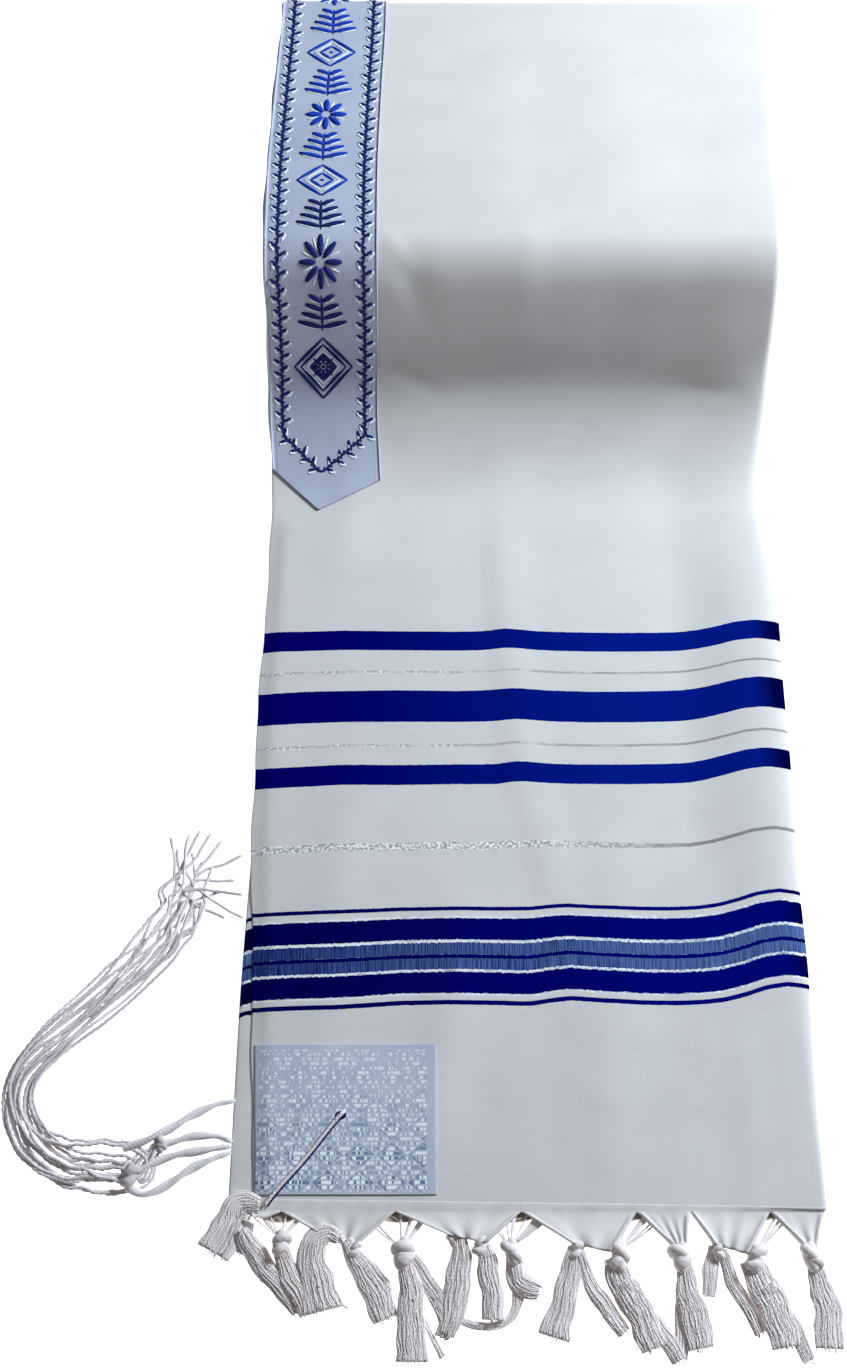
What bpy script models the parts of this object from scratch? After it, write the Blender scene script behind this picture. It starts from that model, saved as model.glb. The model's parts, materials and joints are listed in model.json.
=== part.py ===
"""A tallit (prayer shawl) folded in half lengthwise and laid over its own folded remainder.

Metres, +Z up. The near hem points to -Y, the long folded edge to +X and the open edges to -X.
The doubled cloth lies flat, climbs over the pile made by the rest of its length, turns down over
the back of the pile and comes out again at the back, at floor level, with its far hem.
"""

import math
from collections import namedtuple

import bmesh
import bpy
from mathutils import Vector

# ---- cloth and seams -------------------------------------------------------------------------
PLY = 0.0015  # thickness of the woven cloth
PLY_GAP = 0.0006  # between the two halves of the folded cloth
STACK = 2 * PLY + PLY_GAP  # the doubled cloth, lying flat
SEAM = 0.0003  # clearance between sewn or touching pieces
TRIM = 0.0010  # thickness of neckband and corner patches

# ---- side profile of the doubled cloth, along its underside ------------------------------------
NEAR_HEM_Y = -0.390
FAR_HEM_Y = 0.372
FLAT_LENGTH = 0.4043  # near hem to the foot of the rise
RISE_ANGLE = math.radians(64)
FOOT_RADIUS = 0.096
SLOPE_LENGTH = 0.0316
BROW_RADIUS = 0.028
TOP_LENGTH = 0.1893  # flat top, from the brow to the back turn
BACK_RADIUS = 0.0104
TUCK_LENGTH = 0.012  # how far the cloth runs back in under itself

# ---- outline, roll and ridge of the doubled cloth, by distance from the near hem ----------------
Edge = namedtuple("Edge", "along upper_left under_left right roll ridge")
EDGES = (
    Edge(0.000, -0.0867, -0.0986, 0.2026, 0.0050, 0.0000),
    Edge(0.064, -0.0895, -0.0981, 0.2038, 0.0070, 0.0010),
    Edge(0.106, -0.0914, -0.0976, 0.2050, 0.0090, 0.0020),
    Edge(0.150, -0.0934, -0.0964, 0.2056, 0.0105, 0.0025),
    Edge(0.185, -0.0955, -0.0952, 0.2060, 0.0115, 0.0030),
    Edge(0.260, -0.0955, -0.0945, 0.2078, 0.0120, 0.0040),
    Edge(0.335, -0.0938, -0.0928, 0.2093, 0.0120, 0.0040),
    Edge(0.405, -0.0924, -0.0914, 0.2057, 0.0090, 0.0030),
    Edge(0.433, -0.0938, -0.0928, 0.2056, 0.0080, 0.0020),
    Edge(0.470, -0.0953, -0.0943, 0.2090, 0.0070, 0.0020),
    Edge(0.523, -0.0945, -0.0935, 0.2102, 0.0060, 0.0020),
    Edge(0.560, -0.0943, -0.0933, 0.2094, 0.0060, 0.0020),
    Edge(0.628, -0.0945, -0.0935, 0.2110, 0.0055, 0.0020),
    Edge(0.694, -0.0929, -0.0919, 0.2134, 0.0050, 0.0010),
    Edge(0.750, -0.0910, -0.0900, 0.2146, 0.0036, 0.0000),
    Edge(0.810, -0.0910, -0.0900, 0.2146, 0.0036, 0.0000),
)
ROLL_WIDTH = 0.045  # how far the soft roll reaches in from the folded edge
NOSE_DEPTH = 0.012
RIDGE_X = 0.050  # a low crease that runs the length of the cloth
RIDGE_HALF_WIDTH = 0.028

# ---- folded remainder under the top, one solid with its layers showing at the rim ---------------
PILE_HEIGHT = 0.0977
PILE_CORNER = 0.012
Nose = namedtuple("Nose", "low high reach depth")
PILE_NOSES = {
    "left": (
        Nose(0.0000, 0.0120, -0.0945, 0.0040),
        Nose(0.0120, 0.0245, -0.0900, 0.0050),
        Nose(0.0245, 0.0370, -0.0965, 0.0040),
        Nose(0.0370, 0.0490, -0.0925, 0.0050),
        Nose(0.0490, 0.0610, -0.0950, 0.0040),
        Nose(0.0610, 0.0734, -0.0905, 0.0050),
        Nose(0.0734, 0.0860, -0.0935, 0.0040),
        Nose(0.0860, 0.0977, -0.0910, 0.0050),
    ),
    "right": (
        Nose(0.0000, 0.0245, 0.2120, 0.0090),
        Nose(0.0245, 0.0490, 0.2065, 0.0090),
        Nose(0.0490, 0.0734, 0.2110, 0.0090),
        Nose(0.0734, 0.0977, 0.2075, 0.0090),
    ),
    "front": (
        Nose(0.0000, 0.0490, 0.0940, 0.0160),
        Nose(0.0490, 0.0977, 0.1150, 0.0260),
    ),
    "back": (
        Nose(0.0000, 0.0042, 0.2760, 0.0000),
        Nose(0.0046, 0.0245, 0.2910, 0.0060),
        Nose(0.0245, 0.0718, 0.3430, 0.0150),
        Nose(0.0720, 0.0775, 0.3160, 0.0000),
        Nose(0.0776, 0.0977, 0.3387, 0.0100),
    ),
}
PILE_LEVELS = 4  # rings in each ply of the rim

# ---- far end, coming out from under the pile ----------------------------------------------------
FAR_START_Y = 0.2765
FAR_LEFT = -0.0915
FAR_UNDER_LEFT = -0.0935
FAR_RIGHT = 0.2120

# ---- neckband -----------------------------------------------------------------------------------
BAND_TIP = 0.4043  # from the near hem to the point
BAND_POINT_LENGTH = 0.028
BAND_INSET = 0.0008  # from the cloth's open edge
BAND_WIDTH = 0.0665
BAND_TIP_WIDTH = 0.002

# ---- corner patches and the cord that ties each tzitzit on ---------------------------------------
PATCH_WIDTH = 0.091
PATCH_LENGTH = 0.076
PATCH_INSET = 0.0025  # from the cloth's open edge
PATCH_HEM_GAP = 0.001
HOLE_INSET = 0.046  # from the open edge, and
HOLE_FROM_HEM = 0.041
CORD_RADIUS = 0.0012
CORD_SIDES = 6

# ---- fringe -------------------------------------------------------------------------------------
STRIP_DEPTH = 0.008
UPPER_STRIP = (PLY + PLY_GAP, STACK)  # lowest and highest z
UNDER_STRIP = (SEAM, PLY)
KNOT_Z = 0.0053
STRAND_HALF_HEIGHT = 0.0007
STRAND_HALF_WIDTH = 0.0008
ROW_HEIGHTS = (0.0013, 0.0034)  # centres of the strands' two layers on the floor
STRAND_STEPS = 3

# Gather: where its threads leave the strip, and its knot; each leg is one bunch of strands.
Tassel = namedtuple("Tassel", "low high knot_x knot_out legs")
Leg = namedtuple("Leg", "columns end_x end_out spread")

NEAR_UPPER_TASSELS = (
    Tassel(
        -0.0860, -0.0750, -0.0940, 0.0160,
        (Leg(2, -0.1070, 0.0300, 0.008), Leg(2, -0.0640, 0.0550, 0.005)),
    ),
    Tassel(-0.0730, -0.0170, -0.0380, 0.0220, (Leg(4, -0.0190, 0.0600, 0.009),)),
    Tassel(-0.0150, 0.0480, 0.0180, 0.0210, (Leg(2, 0.0165, 0.0540, 0.005), Leg(2, 0.0320, 0.0530, 0.005))),
    Tassel(0.0500, 0.1070, 0.0760, 0.0240, (Leg(3, 0.0630, 0.0650, 0.012), Leg(1, 0.0980, 0.0650, 0.000))),
    Tassel(0.1090, 0.1330, 0.1260, 0.0280, (Leg(4, 0.1340, 0.0710, 0.013),)),
    Tassel(0.1350, 0.1710, 0.1440, 0.0250, (Leg(2, 0.1430, 0.0470, 0.003), Leg(2, 0.1610, 0.0630, 0.003))),
    Tassel(0.1740, 0.2010, 0.1910, 0.0260, (Leg(4, 0.1965, 0.0710, 0.013),)),
)
NEAR_UNDER_TASSELS = (
    Tassel(-0.0970, -0.0420, -0.0700, 0.0200, (Leg(4, -0.0470, 0.0540, 0.014),)),
    Tassel(
        -0.0400, 0.0150, -0.0100, 0.0270,
        (Leg(3, -0.0040, 0.0790, 0.010), Leg(1, 0.0095, 0.0640, 0.000)),
    ),
    Tassel(0.0170, 0.0710, 0.0440, 0.0270, (Leg(2, 0.0410, 0.0620, 0.004), Leg(2, 0.0560, 0.0450, 0.003))),
    Tassel(0.0730, 0.1310, 0.1000, 0.0290, (Leg(2, 0.1060, 0.0720, 0.004), Leg(2, 0.1210, 0.0720, 0.004))),
    Tassel(0.1370, 0.1960, 0.1650, 0.0290, (Leg(2, 0.1705, 0.0710, 0.004), Leg(2, 0.1850, 0.0720, 0.004))),
)
FAR_TASSEL_COUNT = 5
FAR_FRINGE_LEFT = -0.076
FAR_FRINGE_RIGHT = 0.210
FAR_KNOT_OUT = 0.024
FAR_TASSEL_LENGTH = 0.068
FAR_LEAN = 0.006  # how far each far tassel drifts sideways

# ---- tzitzit: a knot, two thick cords that go under the cloth, and eight long strands ------------
TIE_RADIUS = 0.0019
TIE_Z = 0.0023
TZITZIT_HALF_WIDTH = 0.0008
Tzitzit = namedtuple("Tzitzit", "name knot ties route end_spacing")
TZITZITS = (
    Tzitzit(
        "tzitzit_near_upper",
        (-0.135, -0.363),
        ((-0.0992, -0.342), (-0.0992, -0.356)),
        (
            (-0.153, -0.369),
            (-0.169, -0.368),
            (-0.186, -0.362),
            (-0.198, -0.354),
            (-0.204, -0.342),
            (-0.204, -0.329),
            (-0.196, -0.315),
            (-0.184, -0.300),
            (-0.167, -0.281),
            (-0.147, -0.259),
            (-0.129, -0.237),
            (-0.115, -0.217),
        ),
        0.0040,
    ),
    Tzitzit(
        "tzitzit_near_under",
        (-0.146, -0.380),
        ((-0.0992, -0.363), (-0.0994, -0.369)),
        (
            (-0.166, -0.382),
            (-0.185, -0.375),
            (-0.199, -0.366),
            (-0.210, -0.354),
            (-0.215, -0.338),
            (-0.214, -0.322),
            (-0.206, -0.307),
            (-0.193, -0.291),
            (-0.176, -0.272),
            (-0.157, -0.250),
            (-0.141, -0.230),
            (-0.131, -0.206),
        ),
        0.0034,
    ),
    Tzitzit(
        "tzitzit_far_upper",
        (-0.091, 0.39),
        ((-0.0905, 0.3726), (-0.0865, 0.3726)),
        (
            (-0.093, 0.405),
            (-0.097, 0.422),
            (-0.106, 0.437),
            (-0.120, 0.449),
            (-0.138, 0.456),
            (-0.158, 0.458),
        ),
        0.0030,
    ),
    Tzitzit(
        "tzitzit_far_under",
        (-0.080, 0.398),
        ((-0.0825, 0.3726), (-0.0785, 0.3726)),
        (
            (-0.081, 0.415),
            (-0.084, 0.433),
            (-0.092, 0.449),
            (-0.106, 0.462),
            (-0.124, 0.469),
            (-0.146, 0.471),
        ),
        0.0030,
    ),
)
TZITZIT_SPACING = 0.0022
ROUTE_STEPS = 12

# ---- colours (linear), roughness, metallic ------------------------------------------------------
WHITE_CLOTH = ((0.72, 0.75, 0.78), 0.85, 0.0)
SATIN = ((0.50, 0.56, 0.74), 0.45, 0.0)
PATCH_SATIN = ((0.52, 0.62, 0.74), 0.45, 0.0)
YARN = ((0.68, 0.68, 0.72), 0.90, 0.0)


# ---- small helpers ------------------------------------------------------------------------------
def clear_scene():
    for obj in list(bpy.data.objects):
        bpy.data.objects.remove(obj, do_unlink=True)


def material(name, look):
    colour, roughness, metallic = look
    made = bpy.data.materials.new(name)
    made.use_nodes = True
    shader = made.node_tree.nodes["Principled BSDF"]
    shader.inputs["Base Color"].default_value = (*colour, 1.0)
    shader.inputs["Roughness"].default_value = roughness
    shader.inputs["Metallic"].default_value = metallic
    return made


def finish_mesh(bm, name, look):
    """Closes the mesh building: outward faces, one object, its own material."""
    bmesh.ops.recalc_face_normals(bm, faces=bm.faces)
    mesh = bpy.data.meshes.new(name)
    bm.to_mesh(mesh)
    bm.free()
    mesh.shade_smooth()
    mesh.set_sharp_from_angle(angle=math.radians(50))
    mesh.materials.append(material(name, look))
    obj = bpy.data.objects.new(name, mesh)
    bpy.context.scene.collection.objects.link(obj)
    return obj


def join_rings(bm, first, second):
    count = len(first)
    for i in range(count):
        j = (i + 1) % count
        bm.faces.new((first[i], first[j], second[j], second[i]))


def curve_value(a, b, c, d, t):
    """Catmull-Rom between b and c."""
    return b + 0.5 * t * (c - a + t * (2 * a - 5 * b + 4 * c - d + t * (3 * (b - c) + d - a)))


def edge_at(along):
    """The outline row at a distance from the near hem, smooth between the table's rows."""
    last = len(EDGES) - 1
    row = next((i for i in range(last) if along <= EDGES[i + 1].along), last - 1)
    near = EDGES[max(row - 1, 0)], EDGES[row], EDGES[row + 1], EDGES[min(row + 2, last)]
    t = (along - near[1].along) / (near[2].along - near[1].along)
    values = [curve_value(*(getattr(edge, field) for edge in near), t) for field in Edge._fields[1:]]
    return Edge(along, *values)


# ---- the doubled cloth --------------------------------------------------------------------------
Stretch = namedtuple("Stretch", "length turn steps")
PROFILE = (
    Stretch(FLAT_LENGTH, 0.0, 12),
    Stretch(FOOT_RADIUS * RISE_ANGLE, RISE_ANGLE, 8),
    Stretch(SLOPE_LENGTH, 0.0, 2),
    Stretch(BROW_RADIUS * RISE_ANGLE, -RISE_ANGLE, 6),
    Stretch(TOP_LENGTH, 0.0, 5),
    Stretch(BACK_RADIUS * math.pi, -math.pi, 9),
    Stretch(TUCK_LENGTH, 0.0, 1),
)


def profile_at(along):
    """(y, z, tilt) of the cloth's underside at a distance from the near hem."""
    y, z, tilt, start = NEAR_HEM_Y, 0.0, 0.0, 0.0
    for stretch in PROFILE:
        part = min(along - start, stretch.length)
        turned = stretch.turn * part / stretch.length
        if stretch.turn:
            radius = stretch.length / stretch.turn
            y += radius * (math.sin(tilt + turned) - math.sin(tilt))
            z -= radius * (math.cos(tilt + turned) - math.cos(tilt))
        else:
            y += part * math.cos(tilt)
            z += part * math.sin(tilt)
        tilt += turned
        start += stretch.length
        if along <= start:
            break
    return y, z, tilt


def profile_stations():
    """Distances along the profile at which the cloth gets a section."""
    stations = [0.0]
    for stretch in PROFILE:
        start = stations[-1]
        stations += [start + stretch.length * (i + 1) / stretch.steps for i in range(stretch.steps)]
    return stations


def on_profile(x, along, height):
    """A point of the laid cloth: across, along and above its underside."""
    y, z, tilt = profile_at(along)
    return Vector((x, y - height * math.sin(tilt), z + height * math.cos(tilt)))


def ease(t):
    return 0.5 - 0.5 * math.cos(math.pi * min(max(t, 0.0), 1.0))


def ridge_height(x, edge):
    away = abs(x - RIDGE_X) / RIDGE_HALF_WIDTH
    return edge.ridge * (1 - ease(away))


def centre_line(edge):
    """Middle of the single ply, from the upper open edge round the fold to the under open edge."""
    upper = STACK - PLY / 2
    under = PLY / 2
    crest = edge.roll - PLY / 2
    half_height = (crest - under) / 2
    depth = min(NOSE_DEPTH, max(half_height, half_height**2 / (0.8 * PLY)))
    nose_x = edge.right - PLY / 2 - depth
    roll_start = edge.right - ROLL_WIDTH
    line = [(edge.upper_left, upper)]
    for step in (-1.0, -0.5, 0.0, 0.5, 1.0):
        x = RIDGE_X + step * RIDGE_HALF_WIDTH
        line.append((x, upper + ridge_height(x, edge)))
    for step in (0.0, 0.25, 0.5, 0.75):
        line.append((roll_start + step * (nose_x - roll_start), upper + (crest - upper) * ease(step)))
    nose_steps = 6
    for i in range(nose_steps + 1):
        angle = math.pi * (0.5 - i / nose_steps)
        line.append(
            (nose_x + depth * math.cos(angle), under + half_height * (1 + math.sin(angle)))
        )
    line.append((edge.under_left, under))
    return line


def ply_outline(line):
    """Outer and inner points of a wall of one ply round its centre line."""
    outer, inner = [], []
    for i, (x, height) in enumerate(line):
        before = line[max(i - 1, 0)]
        after = line[min(i + 1, len(line) - 1)]
        run, rise = after[0] - before[0], after[1] - before[1]
        size = math.hypot(run, rise)
        across = (-rise / size * PLY / 2, run / size * PLY / 2)
        outer.append((x + across[0], height + across[1]))
        inner.append((x - across[0], height - across[1]))
    return outer, inner


def folded_cloth(name, sections):
    """A hairpin wall through sections of (edge row, function that places a section's point)."""
    bm = bmesh.new()
    rings = []
    for edge, place in sections:
        outer, inner = ply_outline(centre_line(edge))
        rings.append([bm.verts.new(place(*point)) for point in outer + inner[::-1]])
    for first, second in zip(rings, rings[1:]):
        join_rings(bm, first, second)
    for ring in (rings[0], rings[-1]):
        half = len(ring) // 2
        for i in range(half - 1):
            bm.faces.new((ring[i], ring[i + 1], ring[-2 - i], ring[-1 - i]))
    return finish_mesh(bm, name, WHITE_CLOTH)


def shawl_cloth():
    sections = []
    for along in profile_stations():
        sections.append((edge_at(along), lambda x, height, s=along: on_profile(x, s, height)))
    return folded_cloth("shawl_cloth", sections)


def far_end_cloth():
    edge = Edge(0.0, FAR_LEFT, FAR_UNDER_LEFT, FAR_RIGHT, STACK, 0.0)
    sections = [
        (edge, lambda x, height, y=y: Vector((x, y, height))) for y in (FAR_START_Y, FAR_HEM_Y)
    ]
    return folded_cloth("far_end_cloth", sections)


# ---- the folded remainder -----------------------------------------------------------------------
def rim(side, z, inward):
    """How far the pile reaches on one side at a height; inward is the sign that moves it in."""
    for nose in PILE_NOSES[side]:
        if z <= nose.high + 1e-9:
            middle = (nose.low + nose.high) / 2
            off = min(abs(z - middle) / (nose.high - middle), 1.0)
            return nose.reach + inward * nose.depth * (1 - math.sqrt(1 - off * off))
    raise ValueError("above the pile")


def pile_levels():
    levels = set()
    for nose in PILE_NOSES["left"]:
        levels.update(
            round(nose.low + (nose.high - nose.low) * (1 - math.cos(math.pi * i / PILE_LEVELS)) / 2, 5)
            for i in range(PILE_LEVELS + 1)
        )
    for nose in PILE_NOSES["back"]:
        levels.update((nose.low, nose.high))
    return sorted(levels)


def rounded_rectangle(left, right, front, back, radius):
    """Corner arcs with a point in the middle of each side, anticlockwise from the front left."""
    points = []
    corners = ((left, front, 180), (right, front, 270), (right, back, 0), (left, back, 90))
    for x, y, start in corners:
        centre_x = x + math.copysign(radius, (left + right) / 2 - x)
        centre_y = y + math.copysign(radius, (front + back) / 2 - y)
        for i in range(4):
            angle = math.radians(start + 30 * i)
            points.append((centre_x + radius * math.cos(angle), centre_y + radius * math.sin(angle)))
    for at in (12, 8, 4):
        ahead, behind = points[at - 1], points[at % len(points)]
        points.insert(at, ((ahead[0] + behind[0]) / 2, (ahead[1] + behind[1]) / 2))
    return points


def folded_layers():
    bm = bmesh.new()
    rings = []
    for z in pile_levels():
        outline = rounded_rectangle(
            rim("left", z, 1), rim("right", z, -1), rim("front", z, 1), rim("back", z, -1), PILE_CORNER
        )
        rings.append([bm.verts.new((x, y, z)) for x, y in outline])
    for first, second in zip(rings, rings[1:]):
        join_rings(bm, first, second)
    bm.faces.new(rings[0])
    bm.faces.new(rings[-1])
    return finish_mesh(bm, "folded_layers", WHITE_CLOTH)


# ---- flat trims that lie on the cloth -----------------------------------------------------------
def trim(name, stations, look):
    """A thin piece through stations of (left x, right x, function that places x and height)."""
    bm = bmesh.new()
    low, high = STACK + SEAM, STACK + SEAM + TRIM
    rings = []
    for left, right, place in stations:
        corners = ((left, low), (right, low), (right, high), (left, high))
        rings.append([bm.verts.new(place(x, height)) for x, height in corners])
    for first, second in zip(rings, rings[1:]):
        join_rings(bm, first, second)
    bm.faces.new(rings[0])
    bm.faces.new(rings[-1])
    return finish_mesh(bm, name, look)


def neckband():
    """Starts in a point and follows the cloth's open edge over the pile and down its back."""
    point_end = BAND_TIP + BAND_POINT_LENGTH
    alongs = [BAND_TIP, point_end] + [s for s in profile_stations() if s > point_end + 0.004]
    stations = []
    for along in alongs:
        left = edge_at(along).upper_left + BAND_INSET
        right = left + BAND_WIDTH
        if along == BAND_TIP:
            middle = (left + right) / 2
            left, right = middle - BAND_TIP_WIDTH / 2, middle + BAND_TIP_WIDTH / 2
        stations.append((left, right, lambda x, height, s=along: on_profile(x, s, height)))
    return trim("atara", stations, SATIN)


def corner_patch(name, hem_y, inward, open_edge):
    left = open_edge + PATCH_INSET
    stations = []
    for distance in (PATCH_HEM_GAP, PATCH_HEM_GAP + PATCH_LENGTH):
        y = hem_y + inward * distance
        stations.append((left, left + PATCH_WIDTH, lambda x, height, y=y: Vector((x, y, height))))
    return trim(name, stations, PATCH_SATIN)


# ---- strands and tubes --------------------------------------------------------------------------
def smooth_route(points, steps):
    """Evenly numbered points on a smooth curve through a hand-chosen route."""
    last = len(points) - 1
    route = []
    for i in range(steps + 1):
        place = last * i / steps
        row = min(int(place), last - 1)
        t = place - row
        near = [points[max(row - 1, 0)], points[row], points[row + 1], points[min(row + 2, last)]]
        route.append(Vector([curve_value(*axis, t) for axis in zip(*near)]))
    return route


def tangent(points, i):
    return (points[min(i + 1, len(points) - 1)] - points[max(i - 1, 0)]).normalized()


def square_ring(bm, centre, along, half_width, half_height):
    side = along.cross(Vector((0, 0, 1))).normalized()
    up = side.cross(along)
    corners = ((-1, -1), (1, -1), (1, 1), (-1, 1))
    return [
        bm.verts.new(centre + a * half_width * side + b * half_height * up) for a, b in corners
    ]


def grow_strand(bm, root, points, half_width, half_height):
    """Four-sided strand from four root vertices, which it shares with its backing."""
    ring = root
    for i in range(1, len(points)):
        width = half_width * (0.75 if i == 1 else 1.0)
        following = square_ring(bm, points[i], tangent(points, i), width, half_height)
        join_rings(bm, ring, following)
        ring = following
    bm.faces.new(ring)


def tube(name, points, radius, look):
    bm = bmesh.new()
    rings = []
    for i, point in enumerate(points):
        along = tangent(points, i)
        side = along.cross(Vector((0, 0, 1))).normalized()
        up = side.cross(along)
        rings.append(
            [
                bm.verts.new(point + radius * (math.cos(a) * side + math.sin(a) * up))
                for a in (2 * math.pi * k / CORD_SIDES for k in range(CORD_SIDES))
            ]
        )
    for first, second in zip(rings, rings[1:]):
        join_rings(bm, first, second)
    bm.faces.new(rings[0])
    bm.faces.new(rings[-1])
    return finish_mesh(bm, name, look)


# ---- gathers and knots --------------------------------------------------------------------------
# A section of a gather is a rectangle split into columns by rows, so that each cell of its last
# section can grow one strand. roundness 1 makes the rectangle an ellipse.
Section = namedtuple("Section", "centre along width height roundness")


def grid_point(section, u, v):
    """u and v run from -1 to 1 across and up the section."""
    side = section.along.cross(Vector((0, 0, 1))).normalized()
    up = side.cross(section.along)
    round_u = u * math.sqrt(1 - v * v / 2)
    round_v = v * math.sqrt(1 - u * u / 2)
    u += (round_u - u) * section.roundness
    v += (round_v - v) * section.roundness
    return section.centre + u * section.width / 2 * side + v * section.height / 2 * up


def rim_cells(columns, rows):
    """Grid corners round the section, anticlockwise from the lower left."""
    cells = [(i, 0) for i in range(columns)]
    cells += [(columns, j) for j in range(rows)]
    cells += [(i, rows) for i in range(columns, 0, -1)]
    cells += [(0, j) for j in range(rows, 0, -1)]
    return cells


def grid_ring(bm, section, columns, rows):
    return {
        (i, j): bm.verts.new(grid_point(section, 2 * i / columns - 1, 2 * j / rows - 1))
        for i, j in rim_cells(columns, rows)
    }


def join_grid_rings(bm, first, second, columns, rows):
    cells = rim_cells(columns, rows)
    join_rings(bm, [first[cell] for cell in cells], [second[cell] for cell in cells])


def grid_cap(bm, ring, section, columns, rows):
    """Fills a ring with its grid of cells; returns each cell's four corners, by column and row."""
    corners = dict(ring)
    for i in range(1, columns):
        for j in range(1, rows):
            corners[i, j] = bm.verts.new(grid_point(section, 2 * i / columns - 1, 2 * j / rows - 1))
    return {
        (i, j): [corners[i, j], corners[i + 1, j], corners[i + 1, j + 1], corners[i, j + 1]]
        for i in range(columns)
        for j in range(rows)
    }


def bend(start, leaving, end, arriving, steps):
    """Points on a smooth bend that leaves and arrives along two directions."""
    reach = (end - start).length * 0.4
    first, second = start + leaving * reach, end - arriving * reach
    points = []
    for i in range(steps + 1):
        t = i / steps
        points.append(
            (1 - t) ** 3 * start + 3 * t * (1 - t) ** 2 * first + 3 * t * t * (1 - t) * second + t**3 * end
        )
    return points


# ---- fringe -------------------------------------------------------------------------------------
def gather_sections(tassel, hem_y, facing, strip):
    """From the strip, through the narrowing gather, to the knot's lower face."""
    out = Vector((0, facing, 0))
    strip_z = sum(strip) / 2
    base_x = (tassel.low + tassel.high) / 2
    base_width = tassel.high - tassel.low
    strip_height = strip[1] - strip[0]
    reach = tassel.knot_out - STRIP_DEPTH

    def section(share, width, height, z, roundness):
        x = base_x + (tassel.knot_x - base_x) * min(share, 1.0)
        y = hem_y + facing * (STRIP_DEPTH + SEAM + share * reach)
        return Section(Vector((x, y, z)), out, width, height, roundness)

    return [
        section(0.00, base_width, strip_height, strip_z, 0.0),
        section(0.45, max(0.42 * base_width, 0.006), strip_height, strip_z, 0.0),
        section(0.72, 0.0065, 0.0050, (strip_z + KNOT_Z) / 2 + 0.0005, 0.8),
        section(1.00, 0.0098, 0.0088, KNOT_Z, 1.0),
        section(1.22, 0.0092, 0.0074, KNOT_Z, 0.7),
    ]


def tassel_legs(bm, cells, tassel, hem_y, facing, rows):
    """Fans each leg's strands out from the knot's lower face to their ends on the floor."""
    out = Vector((0, facing, 0))
    order = sorted({column for column, _ in cells})
    # The grid's columns run along out x up, which is -X on the near side.
    if facing < 0:
        order.reverse()
    used = 0
    for leg in tassel.legs:
        end = Vector((leg.end_x, hem_y + facing * leg.end_out, 0))
        away = end - Vector((tassel.knot_x, hem_y + facing * tassel.knot_out, 0))
        away.normalize()
        for number in range(leg.columns):
            column = order[used + number]
            share = number / (leg.columns - 1) - 0.5 if leg.columns > 1 else 0.0
            for row in range(rows):
                root = cells[column, row]
                start = sum((corner.co for corner in root), Vector()) / 4
                across = Vector((abs(away.y), -away.x * math.copysign(1, away.y), 0))
                across *= leg.spread * share
                finish = end + across + Vector((0, 0, ROW_HEIGHTS[row]))
                points = bend(start, out, finish, away, STRAND_STEPS)
                points[0] = start
                points = [start] + inset_first(points, out)
                grow_strand(bm, root, points, STRAND_HALF_WIDTH, STRAND_HALF_HEIGHT)
        used += leg.columns


def inset_first(points, out):
    """Replaces the first point by one just past the knot's face, where the strand narrows."""
    return [points[0] + out * 0.0008] + points[1:]


def fringe(name, hem_y, facing, strip, strip_span, tassels, rows=2):
    """A narrow strip along a hem with its gathers, knots and strands, as one body."""
    bm = bmesh.new()
    near_y = hem_y + facing * SEAM
    low, high = strip
    left, right = strip_span
    corners = ((left, low), (right, low), (right, high), (left, high))
    back = [bm.verts.new((x, near_y, z)) for x, z in corners]
    face_y = near_y + facing * STRIP_DEPTH
    front = [bm.verts.new((x, face_y, z)) for x, z in corners]
    roots = []
    for tassel in tassels:
        columns = sum(leg.columns for leg in tassel.legs)
        sections = gather_sections(tassel, hem_y, facing, strip)
        rings = [grid_ring(bm, section, columns, rows) for section in sections]
        for first, second in zip(rings, rings[1:]):
            join_grid_rings(bm, first, second, columns, rows)
        cells = grid_cap(bm, rings[-1], sections[-1], columns, rows)
        tassel_legs(bm, cells, tassel, hem_y, facing, rows)
        by_height = {
            j: sorted((v for (i, row), v in rings[0].items() if row == j), key=lambda v: v.co.x)
            for j in (0, rows)
        }
        sides = {
            end: [
                sorted(
                    (v for (i, row), v in rings[0].items() if row == j), key=lambda v: v.co.x
                )[end]
                for j in range(rows + 1)
            ]
            for end in (0, -1)
        }
        roots.append((by_height, sides))
    lower = [v for by_height, _ in roots for v in by_height[0]]
    upper = [v for by_height, _ in roots for v in by_height[rows]]
    bm.faces.new([back[0], back[1], front[1]] + lower[::-1] + [front[0]])
    bm.faces.new([back[3], back[2], front[2]] + upper[::-1] + [front[3]])
    bm.faces.new(back)
    bm.faces.new((back[0], front[0], front[3], back[3]))
    bm.faces.new((back[1], front[1], front[2], back[2]))
    bm.faces.new([front[0]] + roots[0][1][0] + [front[3]])
    bm.faces.new([front[1]] + roots[-1][1][-1] + [front[2]])
    for (_, this), (_, following) in zip(roots, roots[1:]):
        bm.faces.new(this[-1] + following[0][::-1])
    return finish_mesh(bm, name, YARN)


def far_tassels(offset):
    """Evenly spaced plain tassels; offset 0.5 puts a row's knots between the other row's."""
    pitch = (FAR_FRINGE_RIGHT - FAR_FRINGE_LEFT) / (FAR_TASSEL_COUNT + 0.5)
    tassels = []
    for i in range(FAR_TASSEL_COUNT):
        low = FAR_FRINGE_LEFT + pitch * (i + offset) + SEAM
        knot_x = low + pitch / 2
        lean = FAR_LEAN * (-1) ** i
        leg = Leg(2, knot_x + lean, FAR_TASSEL_LENGTH, 0.006)
        tassels.append(Tassel(low, low + pitch - 0.002, knot_x, FAR_KNOT_OUT, (leg,)))
    return tuple(tassels)


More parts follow.
